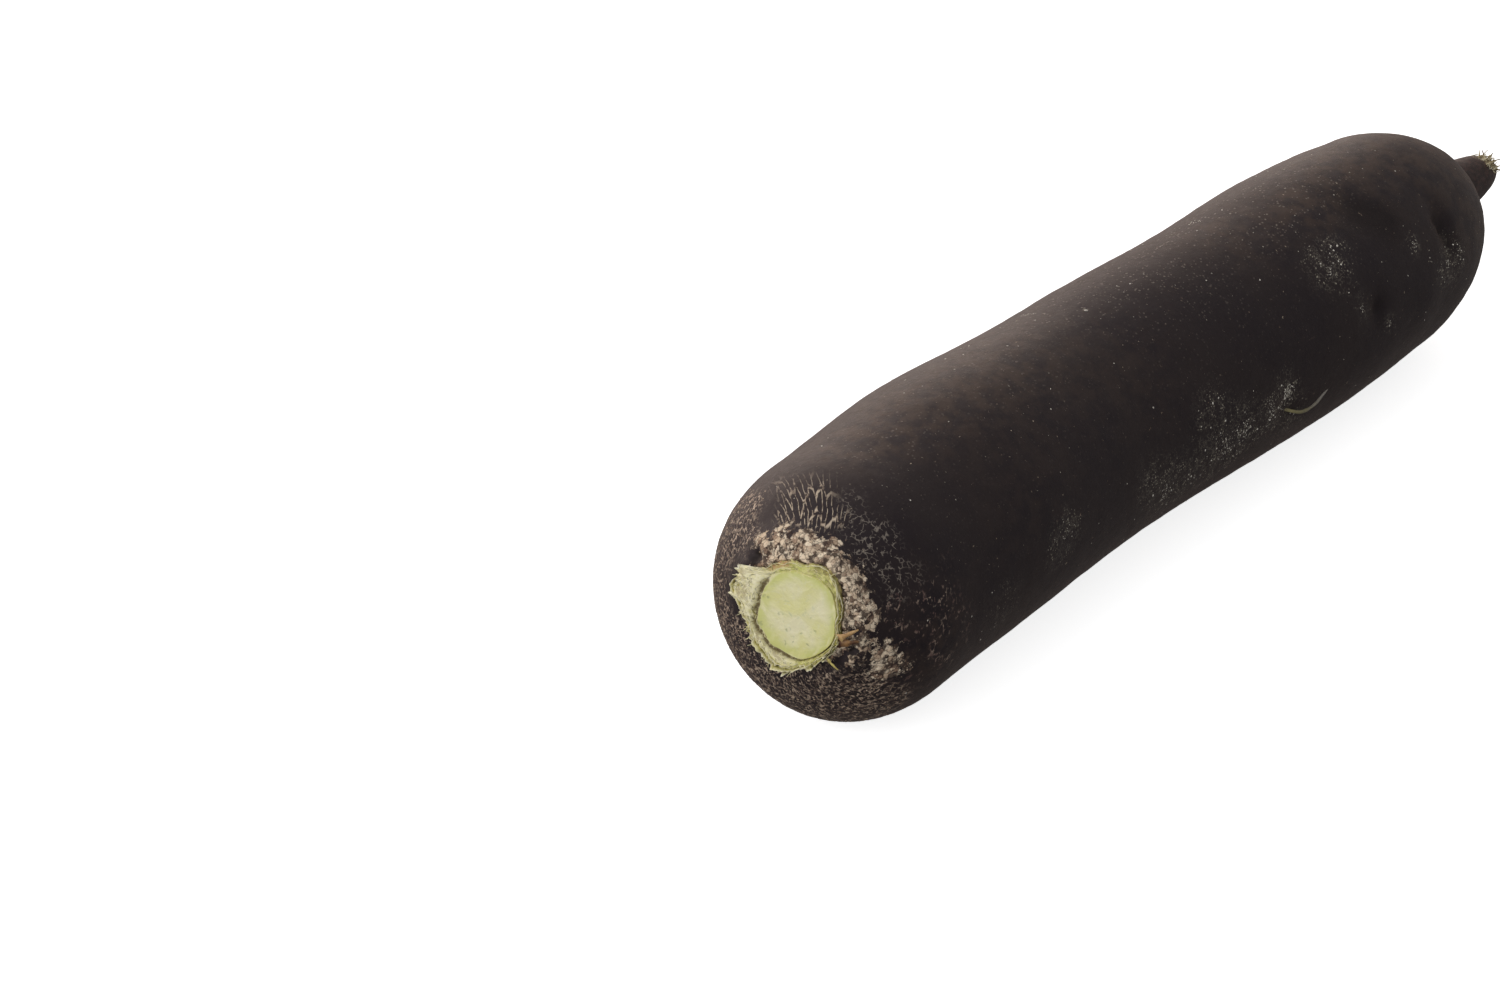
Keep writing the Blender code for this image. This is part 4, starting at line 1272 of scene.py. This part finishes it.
def skin_material():
    s = Shader("radish_skin")
    mm = s.millimetres()
    round_stump = s.place("stump_place")
    dots = dust_share(s, mm)
    colour = s.mix(0.85 * dots, ground_colour(s, mm), DUST_GREY)
    colour = s.mix(0.8 * s.mark("shade"), colour, SHADE_BLACK)
    fissure, fissure_colour = fissure_layer(s, mm)
    colour = s.mix(0.92 * fissure, colour, fissure_colour)
    granular, granular_colour = granular_layer(s, mm, round_stump)
    colour = s.mix(0.92 * granular, colour, granular_colour)
    colour = s.mix(0.8 * net_share(s, mm), colour, NET_GREY)
    dash, dash_colour = dash_layer(s, mm, round_stump)
    colour = scuffed(s, mm, s.mix(0.85 * dash, colour, dash_colour))
    colour, shown, lump = crusted(s, mm, colour)
    colour = ends_coloured(s, mm, colour)

    normal = s.bump(0.5 * s.cloud(mm, 3.2, 4, 0.65) + 0.5 * s.cloud(mm, 1.1, 3), 0.00022, 0.55)
    pattern = -0.6 * fissure + -0.4 * granular + 0.15 * dots + shown * (0.8 - lump)
    normal = s.bump(pattern, 0.00030, 0.7, normal)
    rough = 0.20 * s.cloud(mm, 0.7, 3) + 0.06 * s.mark("crown") + 0.25 * s.mark("shade") + 0.41
    rough = s.math("MAXIMUM", rough + 0.11 * s.mark("dull"), 0.92 * shown)
    return s.finish(Base_Color=colour, Roughness=rough, Normal=normal, Specular_IOR_Level=0.40,
                    Specular_Tint=(1.0, 0.815, 0.80), Sheen_Weight=0.10, Sheen_Roughness=0.40,
                    Sheen_Tint=(1.0, 0.69, 0.54))


# Layers of the stump

def face_colour(s, place):
    """Colour of the cut face, and the share of its dark specks."""
    colour = s.mix(s.spots(0.36, 0.64, place, 0.16, 3), *FACE_TONES)
    colour = s.mix(0.40 * s.spots(0.52, 0.72, s.jittered(place, 0.25, 2.5), 0.9, 4, 0.6), colour, VEIN_PALE)
    green = s.remap(s.mark("share"), 0.62, 0.98) * s.spots(0.30, 0.55, place, 0.30, 3)
    colour = s.mix(0.85 * green, colour, FACE_GREEN)
    speck_place = s.jittered(place, 0.8, 1.8)
    specks = s.remap(s.cells(speck_place, 0.50), 0.27, 0.04)
    specks = specks * s.remap(s.cell_tone(speck_place, 0.50), 0.47, 0.58)
    colour = s.mix(0.62 * specks, colour, SPECK_GREEN)
    star = s.spots(0.58, 0.68, s.jittered(place, 0.5, 1.0), 0.75, 3) * s.remap(s.mark("share"), 0.75, 0.25)
    return s.mix(0.35 * star, colour, STAR_GREEN), specks


def flange_colour(s, mm, streak):
    """Colour of the torn flange, and the shares of its dry layers and of the crevices between them, which are
    painted dark as shade.
    """
    rim, left = s.mark("rim"), s.mark("left")
    layer = s.cloud(s.jittered(s.place("cut_rings"), 0.8, 0.7), 1.0, 3, 0.6)
    colour = s.mix(s.remap(streak, 0.35, 0.65), *FLANGE_TONES)
    colour = s.mix(left, colour, s.mix(s.remap(streak, 0.30, 0.60), *CREAM_TONES))
    dull = s.mix(s.remap(streak, 0.40, 0.62), *DULL_TONES)
    colour = s.mix(s.mark("right") * s.remap(rim, 0.25, 0.80), colour, dull)
    edge = s.remap(rim, 0.80, 0.98) * s.spots(0.42, 0.58, mm, 0.8, 4, 0.7)
    colour = s.mix(0.7 * edge, colour, s.mix(left, *EDGE_TONES))
    off_ground = s.remap(rim, 0.02, 0.12)
    crevice = s.remap(s.math("ABSOLUTE", layer - 0.5, 0.0), 0.030, 0.008) * off_ground
    crevice = crevice * s.spots(0.42, 0.56, mm, 0.7, 3)
    # Crevices between the torn layers are painted dark brown: painted shade
    colour = s.mix(0.65 * crevice, colour, CREVICE_SHADE_BROWN)
    dry = s.remap(layer, 0.52, 0.64) * off_ground * s.remap(streak, 0.30, 0.50)
    colour = s.mix(0.60 * dry, colour, DRY_BROWN)
    rust = s.mark("rust") * s.remap(rim, 0.35, 0.65) * s.remap(streak, 0.32, 0.5)
    return s.mix(0.85 * rust, colour, RUST_BROWN), dry, crevice


def stump_material():
    s = Shader("cut_stump")
    mm = s.millimetres()
    streak = s.cloud(s.jittered(mm, 0.6, 1.5), 1.3, 4, 0.65)
    face, specks = face_colour(s, s.place("cut_place"))
    flange, dry, crevice = flange_colour(s, mm, streak)
    colour = s.mix(s.mark("face"), flange, face)
    # The groove round the face is painted dark brown: painted shade in the groove
    groove_shade = s.remap(s.mark("groove"), 0.30, 0.80) * s.spots(0.32, 0.52, mm, 1.2, 4, 0.7)
    colour = s.mix(0.85 * groove_shade, colour, GROOVE_SHADE_BROWN)
    fine = s.cloud(mm, 2.6, 4, 0.6)
    height = 0.5 * fine + 0.4 * streak - 0.4 * specks - 0.8 * (dry + crevice)
    return s.finish(Base_Color=colour, Roughness=0.2 * fine + 0.38, Normal=s.bump(height, 0.00022, 0.6),
                    Subsurface_Weight=0.12, Subsurface_Radius=(0.0012, 0.0012, 0.0006),
                    Subsurface_Scale=1.0, Specular_IOR_Level=0.45)


def tone_material(name, stops, grain, roughness, bump=0.4):
    """Material whose colour follows each small solid's own tone, with finer variation over it."""
    s = Shader(name)
    mm = s.millimetres()
    colour = s.ramp(s.mark("tone") + 0.5 * (s.cloud(mm, grain, 4, 0.6) - 0.5), stops)
    shade = s.remap(s.cloud(mm, grain * 3, 3), 0.25, 0.55, 0.72, 1.0)
    colour = s.mix(shade, (0.02, 0.015, 0.01), colour)
    normal = s.bump(s.cloud(mm, grain * 2.5, 3), 0.0001, bump)
    return s.finish(Base_Color=colour, Roughness=roughness, Normal=normal)


TORN_STOPS = ((0.15, (0.46, 0.44, 0.13)), (0.45, (0.64, 0.59, 0.23)), (0.75, (0.76, 0.70, 0.42)),
              (1.0, (0.84, 0.79, 0.58)))
SCRAP_STOPS = ((0.05, (0.085, 0.035, 0.018)), (0.25, (0.36, 0.19, 0.075)), (0.50, (0.64, 0.41, 0.18)),
               (0.90, (0.66, 0.56, 0.17)))
CRUMB_STOPS = ((0.05, (0.070, 0.045, 0.034)), (0.30, (0.30, 0.205, 0.145)), (0.60, (0.60, 0.455, 0.330)),
               (0.95, (0.86, 0.73, 0.57)))
DUST_STOPS = ((0.10, (0.055, 0.046, 0.038)), (0.45, (0.27, 0.235, 0.185)), (0.95, (0.86, 0.81, 0.72)))
ROOTLET_STOPS = ((0.02, (0.10, 0.085, 0.055)), (0.22, (0.30, 0.26, 0.12)), (0.50, (0.24, 0.21, 0.12)),
                 (0.80, (0.26, 0.235, 0.205)))
FIBRE_STOPS = ((0.10, (0.13, 0.08, 0.045)), (0.45, (0.56, 0.46, 0.26)), (0.85, (0.86, 0.79, 0.58)))


# Camera, floor and lights
AZIMUTH = -53.5
ELEVATION = 28.0
DISTANCE = 1.15
AIM = (0.1295, 0.0, 0.029)
PAN_RIGHT = -0.0802
PAN_UP = -0.0228
FOCAL_PIXELS = 5307
PHOTO_WIDTH = 1500
SENSOR = 36
FLOOR_SIZE = 8.0
FLOOR_GLOW = 0.80
WORLD_BELOW = 0.10
WORLD_ABOVE = 0.34
# Soft lights: (name, direction from the object, distance, width, height, brightness, colour)
LIGHTS = (
    ("window_behind", (0.30, 0.85, 0.31), 1.5, 2.6, 1.08, 1.85, (1.0, 0.86, 0.76)),
    ("sky_above", (0.05, 0.25, 1.0), 1.5, 1.6, 1.2, 0.55, (1.0, 1.0, 1.0)),
    ("fill_left", (-1.0, 0.10, 0.35), 1.4, 1.8, 1.4, 1.60, (1.0, 1.0, 1.0)),
)


def add_camera():
    """Camera fitted to the photograph."""
    turn, rise = math.radians(AZIMUTH), math.radians(ELEVATION)
    back = Vector((math.sin(turn) * math.cos(rise), -math.cos(turn) * math.cos(rise), math.sin(rise)))
    right = Vector((math.cos(turn), math.sin(turn), 0))
    up = back.cross(right)
    camera = bpy.data.objects.new("camera", bpy.data.cameras.new("camera"))
    camera.data.sensor_width = SENSOR
    camera.data.lens = SENSOR * FOCAL_PIXELS / PHOTO_WIDTH
    camera.data.clip_start = 0.01
    camera.location = Vector(AIM) + Vector(SHIFT) + back * DISTANCE + right * PAN_RIGHT + up * PAN_UP
    camera.rotation_mode = "QUATERNION"
    camera.rotation_quaternion = (-back).to_track_quat("-Z", "Y")
    bpy.context.scene.collection.objects.link(camera)
    bpy.context.scene.camera = camera


def add_floor():
    """Pale floor that shows a faint soft shadow."""
    half = FLOOR_SIZE / 2
    corners = [(-half, -half, 0), (half, -half, 0), (half, half, 0), (-half, half, 0)]
    s = Shader("pale_floor")
    tone = s.cloud(s.value("Object", "TexCoord"), 3.0, 2)
    colour = s.mix(tone, (0.90, 0.90, 0.90), (0.94, 0.94, 0.94))
    material = s.finish(Base_Color=colour, Roughness=0.9, Emission_Color=(1.0, 1.0, 1.0),
                        Emission_Strength=FLOOR_GLOW)
    floor = add_mesh("floor", np.array(corners) - SHIFT, [(0, 1, 2, 3)], material, smooth=False)
    floor.visible_diffuse = False
    floor.visible_glossy = False


def add_lights():
    """Soft lights and a room that is brighter above."""
    for name, direction, distance, width, height, brightness, colour in LIGHTS:
        light = bpy.data.lights.new(name, "AREA")
        light.shape = "RECTANGLE"
        light.size, light.size_y = width, height
        light.energy = brightness * math.pi * width * height
        light.color = colour
        lamp = bpy.data.objects.new(name, light)
        towards = Vector(direction).normalized()
        lamp.location = towards * distance
        lamp.rotation_mode = "QUATERNION"
        lamp.rotation_quaternion = towards.to_track_quat("Z", "Y")
        lamp.visible_camera = False
        bpy.context.scene.collection.objects.link(lamp)
    world = bpy.data.worlds.new("soft_room")
    world.use_nodes = True
    tree = world.node_tree
    height = tree.nodes.new("ShaderNodeSeparateXYZ")
    strength = tree.nodes.new("ShaderNodeMapRange")
    tree.links.new(tree.nodes.new("ShaderNodeTexCoord").outputs["Generated"], height.inputs[0])
    tree.links.new(height.outputs["Z"], strength.inputs["Value"])
    fade = {"From Min": -0.9, "From Max": 0.5, "To Min": WORLD_BELOW, "To Max": WORLD_ABOVE}
    for name, value in fade.items():
        strength.inputs[name].default_value = value
    background = tree.nodes["Background"]
    background.inputs["Color"].default_value = (1, 1, 1, 1)
    tree.links.new(strength.outputs["Result"], background.inputs["Strength"])
    bpy.context.scene.world = world


def main():
    bpy.context.scene.view_settings.view_transform = "Standard"
    add_camera()
    add_floor()
    add_lights()
    make_skin(skin_material())
    make_stump(stump_material())
    make_torn_rim(tone_material("torn_rim", TORN_STOPS, 1.4, 0.5))
    make_scraps(tone_material("dry_scraps", SCRAP_STOPS, 1.1, 0.55))
    make_crumbs(tone_material("cork_crumbs", CRUMB_STOPS, 2.0, 0.9))
    make_dust(tone_material("dust_specks", DUST_STOPS, 3.0, 0.85))
    make_nubs(tone_material("root_nubs", DUST_STOPS, 3.0, 0.85))
    make_rootlets(tone_material("side_roots", ROOTLET_STOPS, 1.2, 0.65))
    make_tail_fibres(tone_material("tail_fibres", FIBRE_STOPS, 1.5, 0.7))


main()
